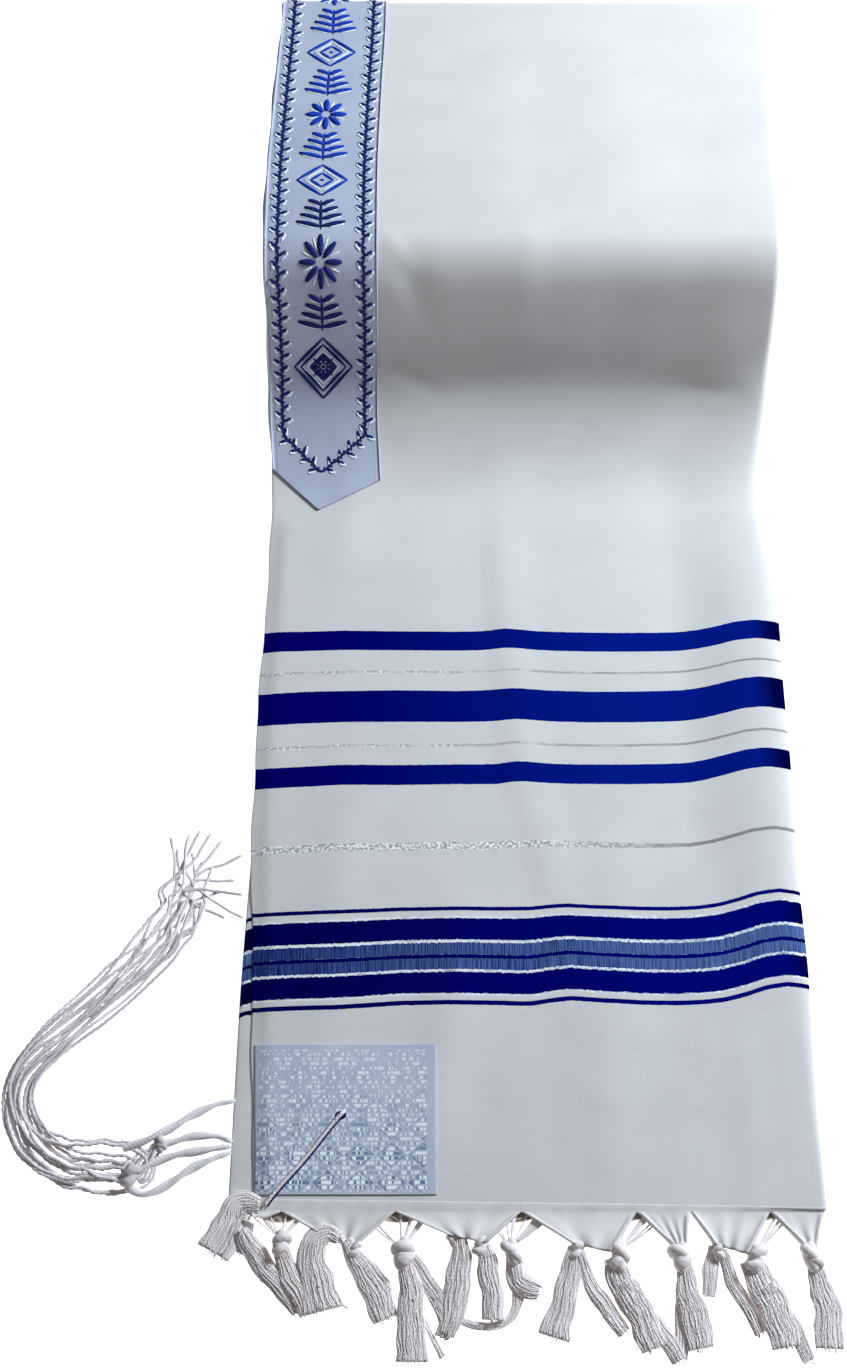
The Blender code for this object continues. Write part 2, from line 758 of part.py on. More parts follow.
# ---- tzitzit ------------------------------------------------------------------------------------
def tzitzit(row):
    """Knot with two thick cords at one end and eight strands in four lanes at the other."""
    columns, rows = 4, 2
    knot = Vector((*row.knot, KNOT_Z - 0.0008))
    route = [Vector((x, y, 0)) for x, y in row.route]
    leaving = (route[0] - knot.xy.to_3d()).normalized()
    bm = bmesh.new()
    sections = [
        Section(knot - leaving * 0.0060, leaving, 0.0075, 0.0060, 0.8),
        Section(knot - leaving * 0.0030, leaving, 0.0090, 0.0075, 1.0),
        Section(knot + leaving * 0.0030, leaving, 0.0092, 0.0075, 1.0),
        Section(knot + leaving * 0.0060, leaving, 0.0086, 0.0056, 0.6),
    ]
    rings = [grid_ring(bm, section, columns, rows) for section in sections]
    for first, second in zip(rings, rings[1:]):
        join_grid_rings(bm, first, second, columns, rows)
    grow_ties(bm, grid_cap(bm, rings[0], sections[0], columns, rows), row, leaving)
    cells = grid_cap(bm, rings[-1], sections[-1], columns, rows)
    line = smooth_route(route, ROUTE_STEPS)
    for (column, level), root in cells.items():
        start = sum((corner.co for corner in root), Vector()) / 4
        points = [start, start + leaving * 0.0015]
        for i, middle in enumerate(line):
            share = i / ROUTE_STEPS
            spacing = TZITZIT_SPACING + (row.end_spacing - TZITZIT_SPACING) * max(0.0, 3 * share - 2)
            along = tangent(line, i)
            side = along.cross(Vector((0, 0, 1)))
            lane = (column - (columns - 1) / 2) * spacing
            points.append(middle + side * lane + Vector((0, 0, ROW_HEIGHTS[level])))
        grow_strand(bm, root, points, TZITZIT_HALF_WIDTH, STRAND_HALF_HEIGHT)
    return finish_mesh(bm, row.name, YARN)


def grow_ties(bm, cells, row, leaving):
    """The two thick cords run from the knot to the cloth's edge; the other cells stay closed."""
    across = leaving.cross(Vector((0, 0, 1)))
    ends = sorted((Vector((x, y, TIE_Z)) for x, y in row.ties), key=lambda end: end.dot(across))
    roots = {(0, 0): ends[0], (3, 0): ends[1]}
    for cell, root in cells.items():
        if cell not in roots:
            bm.faces.new(root)
            continue
        root = root[::-1]
        start = sum((corner.co for corner in root), Vector()) / 4
        end = roots[cell]
        arriving = Vector((0, -1, 0)) if row.name.startswith("tzitzit_far") else Vector((1, 0, 0))
        points = bend(start, -leaving, end, arriving, 4)
        root = [root[1], root[0], root[3], root[2]]
        grow_strand(bm, turned(root, points), points, TIE_RADIUS, TIE_RADIUS)


def turned(root, points):
    """Orders root vertices to match the ring that square_ring makes along the first step."""
    along = (points[1] - points[0]).normalized()
    side = along.cross(Vector((0, 0, 1))).normalized()
    middle = sum((corner.co for corner in root), Vector()) / 4

    def quarter(corner):
        off = corner.co - middle
        return (off.dot(side) > 0, off.z > 0)

    order = ((False, False), (True, False), (True, True), (False, True))
    return sorted(root, key=lambda corner: order.index(quarter(corner)))


def corner_cord(name, hole, hem_x, hem_y, outward):
    """Comes up through the patch's hole, lies over the patch and goes down over the hem."""
    lie = STACK + 2 * SEAM + TRIM + CORD_RADIUS
    x, y = hole
    span_x, span_y = hem_x - x, hem_y - y
    route = (
        (x + 0.0012, y - outward * 0.0012, lie + 0.0004),
        (x + 0.15 * span_x, y + 0.15 * span_y, lie),
        (x + 0.50 * span_x, y + 0.50 * span_y, lie),
        (x + 0.85 * span_x, y + 0.85 * span_y, lie),
        (hem_x, hem_y, lie - 0.0002),
        (hem_x - 0.0030, hem_y + outward * 0.0040, STACK + SEAM + CORD_RADIUS),
    )
    return tube(name, smooth_route(route, 10), CORD_RADIUS, YARN)


# ---- the whole shawl ----------------------------------------------------------------------------
def build():
    clear_scene()
    shawl_cloth()
    folded_layers()
    far_end_cloth()
    neckband()
    near_edge = EDGES[0]
    corner_patch("corner_patch_near", NEAR_HEM_Y, 1, near_edge.upper_left)
    corner_patch("corner_patch_far", FAR_HEM_Y, -1, FAR_LEFT)
    upper_span = (near_edge.upper_left, 0.2022)
    under_span = (near_edge.under_left, 0.1975)
    far_span = (FAR_FRINGE_LEFT, FAR_FRINGE_RIGHT)
    fringe("fringe_near_upper", NEAR_HEM_Y, -1, UPPER_STRIP, upper_span, NEAR_UPPER_TASSELS)
    fringe("fringe_near_under", NEAR_HEM_Y, -1, UNDER_STRIP, under_span, NEAR_UNDER_TASSELS)
    fringe("fringe_far_upper", FAR_HEM_Y, 1, UPPER_STRIP, far_span, far_tassels(0.0))
    fringe("fringe_far_under", FAR_HEM_Y, 1, UNDER_STRIP, far_span, far_tassels(0.5))
    for row in TZITZITS:
        tzitzit(row)
    corner_cord(
        "corner_cord_near",
        (near_edge.upper_left + HOLE_INSET, NEAR_HEM_Y + HOLE_FROM_HEM),
        -0.0790,
        NEAR_HEM_Y,
        -1,
    )
    corner_cord(
        "corner_cord_far",
        (FAR_LEFT + HOLE_INSET, FAR_HEM_Y - HOLE_FROM_HEM),
        -0.0700,
        FAR_HEM_Y,
        1,
    )


build()
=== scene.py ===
"""Looks of a tallit (prayer shawl), folded in half lengthwise and laid over its own folded remainder.

Metres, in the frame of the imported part: +Z up, the near hem to -Y, the long folded edge to +X.
Distances along the cloth run from the near hem, over the pile and down behind it.
"""

import json
import math
from collections import namedtuple
from functools import partialmethod, reduce

import bmesh
import bpy
import numpy as np
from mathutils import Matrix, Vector

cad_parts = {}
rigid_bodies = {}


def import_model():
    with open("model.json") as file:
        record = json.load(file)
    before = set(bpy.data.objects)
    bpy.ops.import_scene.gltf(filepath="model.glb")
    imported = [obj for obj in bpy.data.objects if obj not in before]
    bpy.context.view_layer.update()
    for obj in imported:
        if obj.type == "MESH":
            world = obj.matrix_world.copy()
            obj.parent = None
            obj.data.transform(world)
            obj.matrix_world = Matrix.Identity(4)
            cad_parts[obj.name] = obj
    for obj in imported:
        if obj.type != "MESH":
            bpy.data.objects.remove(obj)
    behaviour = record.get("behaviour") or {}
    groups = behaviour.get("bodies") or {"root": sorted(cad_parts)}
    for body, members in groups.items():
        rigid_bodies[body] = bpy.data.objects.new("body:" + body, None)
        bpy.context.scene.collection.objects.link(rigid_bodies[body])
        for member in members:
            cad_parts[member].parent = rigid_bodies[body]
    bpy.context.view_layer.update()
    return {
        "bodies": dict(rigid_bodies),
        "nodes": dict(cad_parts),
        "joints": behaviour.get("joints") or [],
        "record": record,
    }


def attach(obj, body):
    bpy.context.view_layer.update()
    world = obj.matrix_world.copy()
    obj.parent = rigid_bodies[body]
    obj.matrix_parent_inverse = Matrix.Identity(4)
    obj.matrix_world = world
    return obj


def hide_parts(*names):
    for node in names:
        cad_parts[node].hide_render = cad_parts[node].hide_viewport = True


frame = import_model()

# ---- the cloth, repeated from the part --------------------------------------------------------
STACK = 0.0036  # the doubled cloth, lying flat
SEAM = 0.0003
WEAVE = 0.0011  # thickness of one ply here
NEAR_HEM_Y = -0.390
FAR_HEM_Y = 0.372
RISE = math.radians(64)
Stretch = namedtuple("Stretch", "length turn rows")
PROFILE = (
    Stretch(0.4043, 0.0, 96),
    Stretch(0.096 * RISE, RISE, 40),
    Stretch(0.0316, 0.0, 10),
    Stretch(0.028 * RISE, -RISE, 20),
    Stretch(0.1893, 0.0, 48),
    Stretch(0.0104 * math.pi, -math.pi, 26),
    Stretch(0.012, 0.0, 5),
)
END = sum(stretch.length for stretch in PROFILE)


def in_metres(kind, *rows):
    return [kind(*(value / 1000 for value in row)) for row in rows]


# Millimetres: distance along, the left edges of the upper and under ply, the right edge, the roll's height
# and the lengthwise crease's.
EDGES = np.array([
    (0, -86.7, -98.6, 202.6, 5, 0),
    (64, -89.5, -98.1, 203.8, 7, 1),
    (106, -91.4, -97.6, 205, 9, 2),
    (150, -93.4, -96.4, 205.6, 10.5, 2.5),
    (185, -95.5, -95.2, 206, 11.5, 3),
    (260, -95.5, -94.5, 207.8, 12, 4),
    (335, -93.8, -92.8, 209.3, 12, 4),
    (405, -92.4, -91.4, 205.7, 9, 3),
    (433, -93.8, -92.8, 205.6, 8, 2),
    (470, -95.3, -94.3, 209, 7, 2),
    (523, -94.5, -93.5, 210.2, 6, 2),
    (560, -94.3, -93.3, 209.4, 6, 2),
    (628, -94.5, -93.5, 211, 5.5, 2),
    (694, -92.9, -91.9, 213.4, 5, 1),
    (750, -91, -90, 214.6, 3.6, 0),
    (810, -91, -90, 214.6, 3.6, 0),
]) / 1000
ROLL_WIDTH = 0.062
NOSE_DEPTH = 0.012
CAD_PLY = 0.0015
RIDGE_LINE = (  # distance along and x of the low crease
    (0.06, 0.078), (0.13, 0.078), (0.185, 0.067), (0.232, 0.054), (0.28, 0.0515), (0.34, 0.048), (0.45, 0.047),
)
RIDGE_LEFT, RIDGE_RIGHT = 0.016, 0.024  # how far its two sides reach
RIDGE_SCALE, ROLL_SCALE = 0.24, 0.72  # worn flatter than in the part
EDGE_DROOP = 0.0016  # the upper ply's open edge comes down on the ply below

# How far back the weave lies across the cloth, in millimetres: its stripes waver, and sweep back at the fold.
SWEEP_X = (-86, -70, -47, -13, 20, 33, 42, 47, 53, 58, 63, 68, 78, 95, 116, 137, 149, 160, 171, 182, 193, 203)
SWEEP = (  # one row for each distance along the cloth
    (0.120, (
        -3.2, -2.6, -2.1, 0.3, 0.5, 0.5, 0.4, 0.2, 0.0, 0.2, 1.0,
        1.8, 2.8, 1.5, 0.5, 0.3, 0.7, 1.9, 4.5, 8.0, 9.5, 8.5,
    )),
    (0.232, (
        -2.6, -1.7, -0.6, -0.6, 0.0, -0.1, 0.1, 1.0, 1.6, 1.4, 0.9,
        0.6, 0.1, -0.1, -0.1, 0.3, 0.8, 2.5, 4.9, 7.3, 8.4, 7.4,
    )),
    (0.282, (
        -2.1, -1.0, -0.4, 0.1, -0.4, 0.0, 0.4, 0.7, 1.0, 0.8, 0.5,
        0.2, -0.3, -0.8, -0.8, -0.4, 0.1, 1.2, 3.1, 5.4, 6.3, 5.5,
    )),
    (0.320, (
        -0.1, 0.1, 0.9, 0.4, 0.2, 0.4, 1.2, 1.8, 1.5, 1.1, 0.7,
        0.4, 0.0, -0.4, -0.6, -0.5, -0.2, 0.7, 2.0, 4.2, 4.9, 4.2,
    )),
)

# Soft troughs and ridges, in millimetres: from (x, along) to (x, along), half width, height.
Crease = namedtuple("Crease", "x0 along0 x1 along1 width height")
UPPER_CREASES = in_metres(Crease,  # the upper ply alone rises
    (-55, 85, -40, 240, 17, 1),
    (5, 10, 18, 150, 15, 1.3),
    (95, 20, 105, 190, 18, 1.1),
    (150, 60, 150, 170, 14, 0.9),
    (110, 350, 120, 440, 26, 0.6),
    (-50, 365, -40, 440, 15, 1),
    (30, 600, 50, 720, 26, 0.6),
    (120, 590, 110, 740, 30, 0.8),
    (170, 10, 168, 100, 10, 1),
)
BOTH_CREASES = in_metres(Crease,  # both plies, where the cloth bridges the air in front of the pile
    (-130, 486, 320, 492, 20, -3.6),
    (165, 484, 245, 482, 5, -2.2),
    (60, 520, 63, 585, 10, 0.5),
    (4, 530, -12, 566, 9, -1.3),
    (-24, 576, -4, 556, 5, 0.7),
    (-22, 498, 6, 484, 6, -1),
    (110, 500, 118, 560, 26, -0.8),
    (185, 500, 180, 560, 12, 0.6),
)


def curve_value(rows, row, t):
    """Catmull-Rom between a row of values and the next."""
    a, b, c, d = rows[max(row - 1, 0)], rows[row], rows[row + 1], rows[min(row + 2, len(rows) - 1)]
    return b + 0.5 * t * (c - a + t * (2 * a - 5 * b + 4 * c - d + t * (3 * (b - c) + d - a)))


def edge_at(along):
    row = min(np.searchsorted(EDGES[1:, 0], along), len(EDGES) - 2)
    start, stop = EDGES[row:row + 2, 0]
    return curve_value(EDGES, row, (along - start) / (stop - start))[1:]


def profile_at(along):
    """(y, z, tilt) of the cloth's underside."""
    y, z, tilt, start = NEAR_HEM_Y, 0.0, 0.0, 0.0
    for stretch in PROFILE:
        part = min(along - start, stretch.length)
        turned = stretch.turn * part / stretch.length
        if stretch.turn:
            radius = stretch.length / stretch.turn
            y += radius * (math.sin(tilt + turned) - math.sin(tilt))
            z -= radius * (math.cos(tilt + turned) - math.cos(tilt))
        else:
            y += part * math.cos(tilt)
            z += part * math.sin(tilt)
        tilt += turned
        start += stretch.length
        if along <= start:
            break
    return y, z, tilt


FINE = np.linspace(0.0, END, 2400)
FINE_ROWS = np.array([(*profile_at(s), *edge_at(s)) for s in FINE])
Y, Z, TILT, UPPER_LEFT, UNDER_LEFT, RIGHT, ROLL, RIDGE = range(8)


def fine(column, along):
    return np.interp(along, FINE, FINE_ROWS[:, column])


def stack(*parts):
    return np.stack(np.broadcast_arrays(*parts), axis=-1)


def place(x, along, height):
    """Points at a height above the underside of the laid cloth."""
    tilt = fine(TILT, along)
    return stack(x, fine(Y, along) - height * np.sin(tilt), fine(Z, along) + height * np.cos(tilt))


def ease(t):
    return 0.5 - 0.5 * np.cos(math.pi * np.clip(t, 0.0, 1.0))


def crease_height(creases, x, along):
    height = np.zeros(np.broadcast(x, along).shape)
    for crease in creases:
        run_x, run_s = crease.x1 - crease.x0, crease.along1 - crease.along0
        size = math.hypot(run_x, run_s)
        t = ((x - crease.x0) * run_x + (along - crease.along0) * run_s) / size**2
        off = ((x - crease.x0) * run_s - (along - crease.along0) * run_x) / size
        fade = 0.5 * crease.width / size + 0.25
        ends = ease((t + fade) / (2 * fade)) * ease((1 + fade - t) / (2 * fade))
        height = height + crease.height * ends * np.exp(-((off / crease.width) ** 2))
    return height


def ridge_share(x, along):
    off = x - np.interp(along, *zip(*RIDGE_LINE))
    return 1 - ease(np.abs(off) / np.where(off < 0, RIDGE_LEFT, RIDGE_RIGHT))


def sweep(x, along):
    levels, rows = zip(*SWEEP)
    shares = [np.interp(along, levels, only) for only in np.eye(len(levels))]
    return sum(np.interp(x * 1000, SWEEP_X, row) / 1000 * share for row, share in zip(rows, shares))


def brow_lift(along):
    """Both plies stand off the pile's brow a little, so that they turn down sooner and more sharply."""
    return 0.0055 * ease((along - 0.543) / 0.034) * ease((0.78 - along) / 0.20)


def upper_height(x, along):
    """Height of the upper ply's outer surface, without the roll at the folded edge."""
    ridge = RIDGE_SCALE * fine(RIDGE, along) * ridge_share(x, along) * np.interp(along, (0.38, 0.44), (1.0, 0.3))
    droop = EDGE_DROOP * ease((fine(UPPER_LEFT, along) + 0.010 - x) / 0.009) * ease((0.405 - along) / 0.025)
    both = crease_height(BOTH_CREASES, x, along) + brow_lift(along)
    return STACK - droop + ridge + crease_height(UPPER_CREASES, x, along) + both


def on_cloth(x, along, above):
    return place(x, along, upper_height(x, along) + above)


def roll_share(x, right, nose_x):
    return ease((x - (right - ROLL_WIDTH)) / (nose_x - right + ROLL_WIDTH))


# ---- mesh building ------------------------------------------------------------------------------
class Soup:
    """Collects grids of points, with their UVs in metres and a tone for each strand."""

    def __init__(self):
        self.points, self.uvs, self.tones, self.faces, self.count = [], [], [], [], 0
        self.slots = []  # (first face, material number), in order

    def grids(self, points, uvs, tones=0.5, wrap=False, caps=False):
        """points: (grids, rows, columns, 3), or one grid. wrap closes each row, caps closes both ends."""
        points = points.reshape(-1, *points.shape[-3:])
        many, rows, columns = points.shape[:3]
        index = self.count + np.arange(many * rows * columns).reshape(many, rows, columns)
        ahead = np.roll(index, -1, axis=2) if wrap else index[:, :, 1:]
        here = index if wrap else index[:, :, :-1]
        quads = np.stack([here[:, :-1], ahead[:, :-1], ahead[:, 1:], here[:, 1:]], axis=-1)
        self.faces += quads.reshape(-1, 4).tolist()
        if caps:
            self.faces += index[:, 0, ::-1].tolist() + index[:, -1].tolist()
        self.points.append(points.reshape(-1, 3))
        self.uvs.append(np.broadcast_to(uvs, points.shape[:3] + (2,)).reshape(-1, 2))
        tones = np.broadcast_to(np.asarray(tones, float).reshape(-1, 1, 1), (many, rows, columns))
        self.tones.append(tones.reshape(-1))
        self.count += many * rows * columns

    def shell(self, low, high, uvs):
        """A closed slab between two grids of the same size."""
        ring = np.concatenate([low, high[:, ::-1]], axis=1)
        index = self.count + np.arange(ring.shape[0] * ring.shape[1]).reshape(ring.shape[:2])
        self.grids(ring, np.concatenate([uvs, uvs[:, ::-1]], axis=1), wrap=True)
        for row in (index[0], index[-1]):
            self.faces += [[row[i], row[i + 1], row[-2 - i], row[-1 - i]] for i in range(low.shape[1] - 1)]

    def use(self, number):
        """The faces added from here on take the piece's material of this number."""
        self.slots.append((len(self.faces), number))

    def mesh(self, name, outward=True):
        mesh = bpy.data.meshes.new(name)
        mesh.from_pydata(np.concatenate(self.points).tolist(), [], self.faces)
        order = np.zeros(len(mesh.loops), int)
        mesh.loops.foreach_get("vertex_index", order)
        uvs = np.concatenate(self.uvs)[order]
        mesh.uv_layers.new(name="cloth").data.foreach_set("uv", uvs.ravel())
        tone = mesh.attributes.new("tone", "FLOAT", "POINT")
        tone.data.foreach_set("value", np.concatenate(self.tones))
        numbers = np.zeros(len(mesh.polygons), int)
        for first, number in self.slots:
            numbers[first:] = number
        mesh.polygons.foreach_set("material_index", numbers)
        if outward:
            bm = bmesh.new()
            bm.from_mesh(mesh)
            bmesh.ops.recalc_face_normals(bm, faces=bm.faces)
            bm.to_mesh(mesh)
            bm.free()
        mesh.shade_smooth()
        return mesh


def piece(name, soup, materials, slot, *nodes, wall=0.0):
    """Adds a piece that rides on the root body; wall gives an open sheet its thickness."""
    obj = bpy.data.objects.new(name, soup.mesh(name, outward=not wall))
    bpy.context.scene.collection.objects.link(obj)
    for material in materials:
        obj.data.materials.append(material)
    if wall:
        solid = obj.modifiers.new("wall", "SOLIDIFY")
        solid.thickness = wall
        solid.offset = 0.0
        solid.use_even_offset = False
    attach(obj, "root")
    if nodes:
        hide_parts(*nodes)
    return obj


def lengths(points):
    """Distance along each line of points, starting at 0; the last two axes are point and xyz."""
    steps = np.linalg.norm(np.diff(points, axis=-2), axis=-1)
    return np.cumsum(np.insert(steps, 0, 0.0, axis=-1), axis=-1)


def unit(vectors):
    return vectors / (np.linalg.norm(vectors, axis=-1, keepdims=True) + 1e-12)


def heading(line):
    """Unit directions along a flat line, and to its left."""
    along = unit(np.gradient(line, axis=0))
    return along, stack(-along[:, 1], along[:, 0])


def tubes(soup, paths, radius, tones=0.5, sides=4, flat=1.0, lobes=0, depth=0.0, pitch=0.004, normal=(0, 0, 1)):
    """Strands along paths (strands, points, 3), or one path; lobes twist round once in each pitch."""
    paths = np.reshape(paths, (-1, *np.shape(paths)[-2:]))
    along = unit(np.gradient(paths, axis=1))
    side = unit(np.cross(along, normal))
    up = np.cross(side, along)
    turn = np.arange(sides) * 2 * math.pi / sides + math.pi / sides
    run = lengths(paths)[..., None]
    radius = np.broadcast_to(radius, paths.shape[:2])[..., None] * np.ones(sides)
    if lobes:
        radius = radius * (1 - depth * (0.5 - 0.5 * np.cos(lobes * (turn - 2 * math.pi * run / pitch))))
    ring = np.cos(turn)[:, None] * side[:, :, None] + flat * np.sin(turn)[:, None] * up[:, :, None]
    uvs = stack(turn / (2 * math.pi) * 0.004, run)
    soup.grids(paths[:, :, None] + radius[..., None] * ring, uvs, tones, wrap=True, caps=True)


def smooth_route(points, steps):
    """Evenly numbered points on a smooth curve through a given route."""
    points = np.asarray(points, float)
    last = len(points) - 1
    places = np.linspace(0, last, steps + 1)
    rows = np.minimum(places.astype(int), last - 1)
    return np.array([curve_value(points, row, spot - row) for row, spot in zip(rows, places)])


# ---- node materials -----------------------------------------------------------------------------
class Value:
    """A node's output; sums, products and comparisons with it become math nodes."""

    def __init__(self, shade, socket):
        self.shade, self.socket = shade, socket

    def step(self, operation, *others):
        return self.shade.node("Math", dict(enumerate((self, *others))), operation=operation)

    __add__ = partialmethod(step, "ADD")
    __sub__ = partialmethod(step, "SUBTRACT")
    __mul__ = partialmethod(step, "MULTIPLY")
    __truediv__ = partialmethod(step, "DIVIDE")
    __lt__ = partialmethod(step, "LESS_THAN")
    __gt__ = partialmethod(step, "GREATER_THAN")
    __or__ = partialmethod(step, "MAXIMUM")
    __abs__ = partialmethod(step, "ABSOLUTE")

    def __rsub__(self, other):
        return self.shade.node("Math", {0: other, 1: self}, operation="SUBTRACT")

    def range(self, low, high, to_low=0.0, to_high=1.0):
        limits = {"From Min": low, "From Max": high, "To Min": to_low, "To Max": to_high}
        return self.shade.node("MapRange", {"Value": self, **limits})


class Shade:
    """A Principled material with short calls for the nodes that its patterns need."""

    def __init__(self, name, **sockets):
        self.material = bpy.data.materials.new(name)
        self.material.use_nodes = True
        self.tree = self.material.node_tree
        self.shader = self.tree.nodes["Principled BSDF"]
        self.put(self.shader, {key.replace("_", " "): value for key, value in sockets.items()})

    def put(self, node, inputs):
        for key, value in inputs.items():
            socket = node.inputs[key]
            if isinstance(value, Value):
                self.tree.links.new(value.socket, socket)
            else:
                socket.default_value = (*value, 1.0) if socket.type == "RGBA" else value

    def node(self, kind, inputs, output=0, **settings):
        made = self.tree.nodes.new("ShaderNode" + kind)
        for key, value in settings.items():
            setattr(made, key, value)
        self.put(made, inputs)
        return Value(self, made.outputs[output])

    def on_cloth(self):
        """Takes the cloth's UV map, in metres: u across from the open edge, v along from the hem."""
        self.uv = self.node("UVMap", {}, uv_map="cloth")
        self.u = self.node("SeparateXYZ", {0: self.uv})
        self.v = Value(self, self.u.socket.node.outputs[1])
        return self.u, self.v

    def cloud(self, vector, detail):
        return self.node("TexNoise", {"Vector": vector, "Scale": 1.0, "Detail": detail, "Roughness": 0.5})

    def noise(self, scale_u, scale_v, detail=2.0):
        scale = (scale_u, scale_v, 1.0)
        return self.cloud(self.node("VectorMath", {0: self.uv, 1: scale}, operation="MULTIPLY"), detail)

    def mix(self, share, first, second):
        """Colours mixed by a share from 0 to 1."""
        return self.node("Mix", {0: share, 6: first, 7: second}, 2, data_type="RGBA")

    def dressed(self, colour, height, strength, distance=0.00012):
        """The material, with its colour and bump set."""
        bump = self.node("Bump", {"Height": height, "Strength": strength, "Distance": distance})
        self.put(self.shader, {"Base Color": colour, "Normal": bump})
        return self.material


WHITE_LOW, WHITE_HIGH, WHITE_SLUB = (0.625, 0.616, 0.618), (0.668, 0.658, 0.660), (0.72, 0.708, 0.708)
BLUE_BANDS = (
    (0.3085, 0.3209), (0.2630, 0.2828), (0.2243, 0.2365), (0.1498, 0.1520),
    (0.1325, 0.1455), (0.1229, 0.1251), (0.1037, 0.1163), (0.0976, 0.1001),
)
HEATHER_BANDS = ((0.1163, 0.1229), (0.1251, 0.1325))
Line = namedtuple("Line", "middle half_width")
SILVER_LINES = (Line(0.1161, 0.0007), Line(0.1325, 0.0008))
THIN_SILVER = (Line(0.1460, 0.0006), Line(0.1033, 0.0006))
WIDE_LINE = Line(0.1874, 0.0022)
FAINT_LINES = (Line(0.2484, 0.0008), Line(0.2947, 0.0007))
THREAD_PITCH = 0.00085


def cloth_material():
    """Woven wool with the stripes set by the distance behind the hem, the UV map's v."""
    shade = Shade("woven_cloth", Roughness=0.88, Specular_IOR_Level=0.04)
    u, v = shade.on_cloth()
    noise, mix = shade.noise, shade.mix

    def lines(value, rows, half_width=None):
        """1 on the lines and 0 elsewhere."""
        near = [abs(value - row.middle) < (half_width or row.half_width) for row in rows]
        return reduce(Value.__or__, near)

    def bands(value, rows):
        return lines(value, [Line((low + high) / 2, (high - low) / 2) for low, high in rows])

    thread, teeth, worn = noise(1400, 260, 1), noise(620, 120), noise(90, 300)
    slub, grain = noise(60, 900), noise(560, 700)
    blue = bands(v + thread.range(0.3, 0.7, -0.00016, 0.00016), BLUE_BANDS)
    heather = bands(v, HEATHER_BANDS)

    # Jagged silver lines, brightest at the open side; the wide one thins to a grey line at the folded side.
    rightward = u.range(0.15, 0.25)
    v_jagged = v + teeth.range(0.3, 0.7, -0.0004, 0.0004)
    silver = lines(v_jagged, SILVER_LINES) * worn.range(0.28, 0.44, 0.35, 1.0)
    silver = silver | lines(v_jagged, THIN_SILVER) * worn.range(0.34, 0.50, 0.0, 0.8)
    v_wide = v + (v_jagged - v) * rightward.range(0.0, 1.0, 2.0, 0.3)
    wide = lines(v_wide, [WIDE_LINE], WIDE_LINE.half_width - rightward * 0.0012)
    faint = lines(v + thread.range(0.3, 0.7, -0.0002, 0.0002), FAINT_LINES)
    ticks = teeth.range(0.47, 0.53) * u.range(0.10, 0.14, 1.0, 0.0) * lines(v_jagged, FAINT_LINES, 0.0012)
    metal = silver | wide * (1.0 - rightward)

    white = mix(noise(22, 30, 3).range(0.3, 0.7), WHITE_LOW, WHITE_HIGH)
    white = mix(slub.range(0.45, 0.75, 0.0, 0.20), white, WHITE_SLUB)
    # Painted shade over the heather's random thread mix: less pale thread toward the open edge, more toward the
    # fold.
    share = noise(1500, 40).range(0.38, 0.66, 0.0, 0.36) + (u.range(0.02, 0.19, 0.0, 0.06) + rightward * 0.08)
    mixed = mix(share * u.range(0.0, 0.10, 0.45, 1.0), (0.002, 0.010, 0.13), (0.22, 0.38, 0.72))
    # Painted shade: the blue is darker toward the open edge and in the bands nearer the hem, and almost black at
    # the folded edge.
    low = mix(u.range(0.04, 0.24), (0.0, 0.0, 0.068), (0.0002, 0.0020, 0.155))
    high = mix(u.range(0.04, 0.20), (0.0, 0.0, 0.110), (0.0002, 0.0100, 0.205))
    turned = mix(u.range(0.285, 0.298), mix(v > 0.20, low, high), (0.0002, 0.0006, 0.020))
    blue_tone = mix(thread.range(0.3, 0.7, 0.0, 0.16), turned, (0.0, 0.004, 0.28))
    colour = mix(blue, mix(heather, white, mixed), blue_tone)
    # Painted highlights: white glints of the metal threads, mixed into the silver lines' colour.
    painted_glint = grain.range(0.44, 0.57)
    bright = mix(painted_glint, (0.34, 0.36, 0.40), (1.0, 1.0, 1.0))
    patchy = worn.range(0.34, 0.54, 0.45, 0.95) | rightward
    colour = mix(wide * patchy, colour, mix(rightward, bright, (0.26, 0.26, 0.29)))
    pale = mix(u.range(0.06, 0.20), (0.80, 0.84, 0.90), (0.46, 0.54, 0.70))
    colour = mix(silver, colour, mix(painted_glint, pale, (0.90, 0.93, 0.97)))
    broken = worn.range(0.40, 0.52, 0.15, 0.75)
    grey = mix(rightward, (0.36, 0.34, 0.42), (0.20, 0.20, 0.22))
    colour = mix(faint * (broken | rightward * 0.7), colour, grey)
    colour = mix(ticks * broken, colour, mix(painted_glint, (0.42, 0.42, 0.48), (0.98, 0.99, 1.0)))
    shade.put(shade.shader, {
        "Metallic": metal * 0.15,
        "Specular IOR Level": blue.range(0.0, 1.0, 0.04, 0.0),
        "Roughness": metal.range(0.0, 1.0, 0.88, 0.40) - blue * 0.30,
    })
    weave = (u * (2 * math.pi / THREAD_PITCH)).step("SINE") * (v * (2 * math.pi / THREAD_PITCH)).step("SINE")
    return shade.dressed(colour, weave + slub * 1.2 + metal * (grain * 2.0), 0.25)


def satin_material(name, ground, light, fold, seam=None):
    """Pale satin with fine weft lines; seam gives the distance of a stitched line from the middle."""
    shade = Shade(name, Roughness=0.45, Specular_IOR_Level=0.30)
    u, v = shade.on_cloth()
    weft = shade.noise(50, 1500)
    colour = shade.mix(shade.noise(28, 30, 3).range(0.3, 0.7), ground, light)
    colour = shade.mix(weft.range(0.4, 0.7, 0.0, 0.30), colour, fold)
    if seam:
        colour = shade.mix((abs(abs(u) - seam) < 0.00028) * 0.40, colour, (0.20, 0.23, 0.30))
    else:
        colour = brocade(shade, u, v, colour)
    return shade.dressed(colour, weft, 0.25)


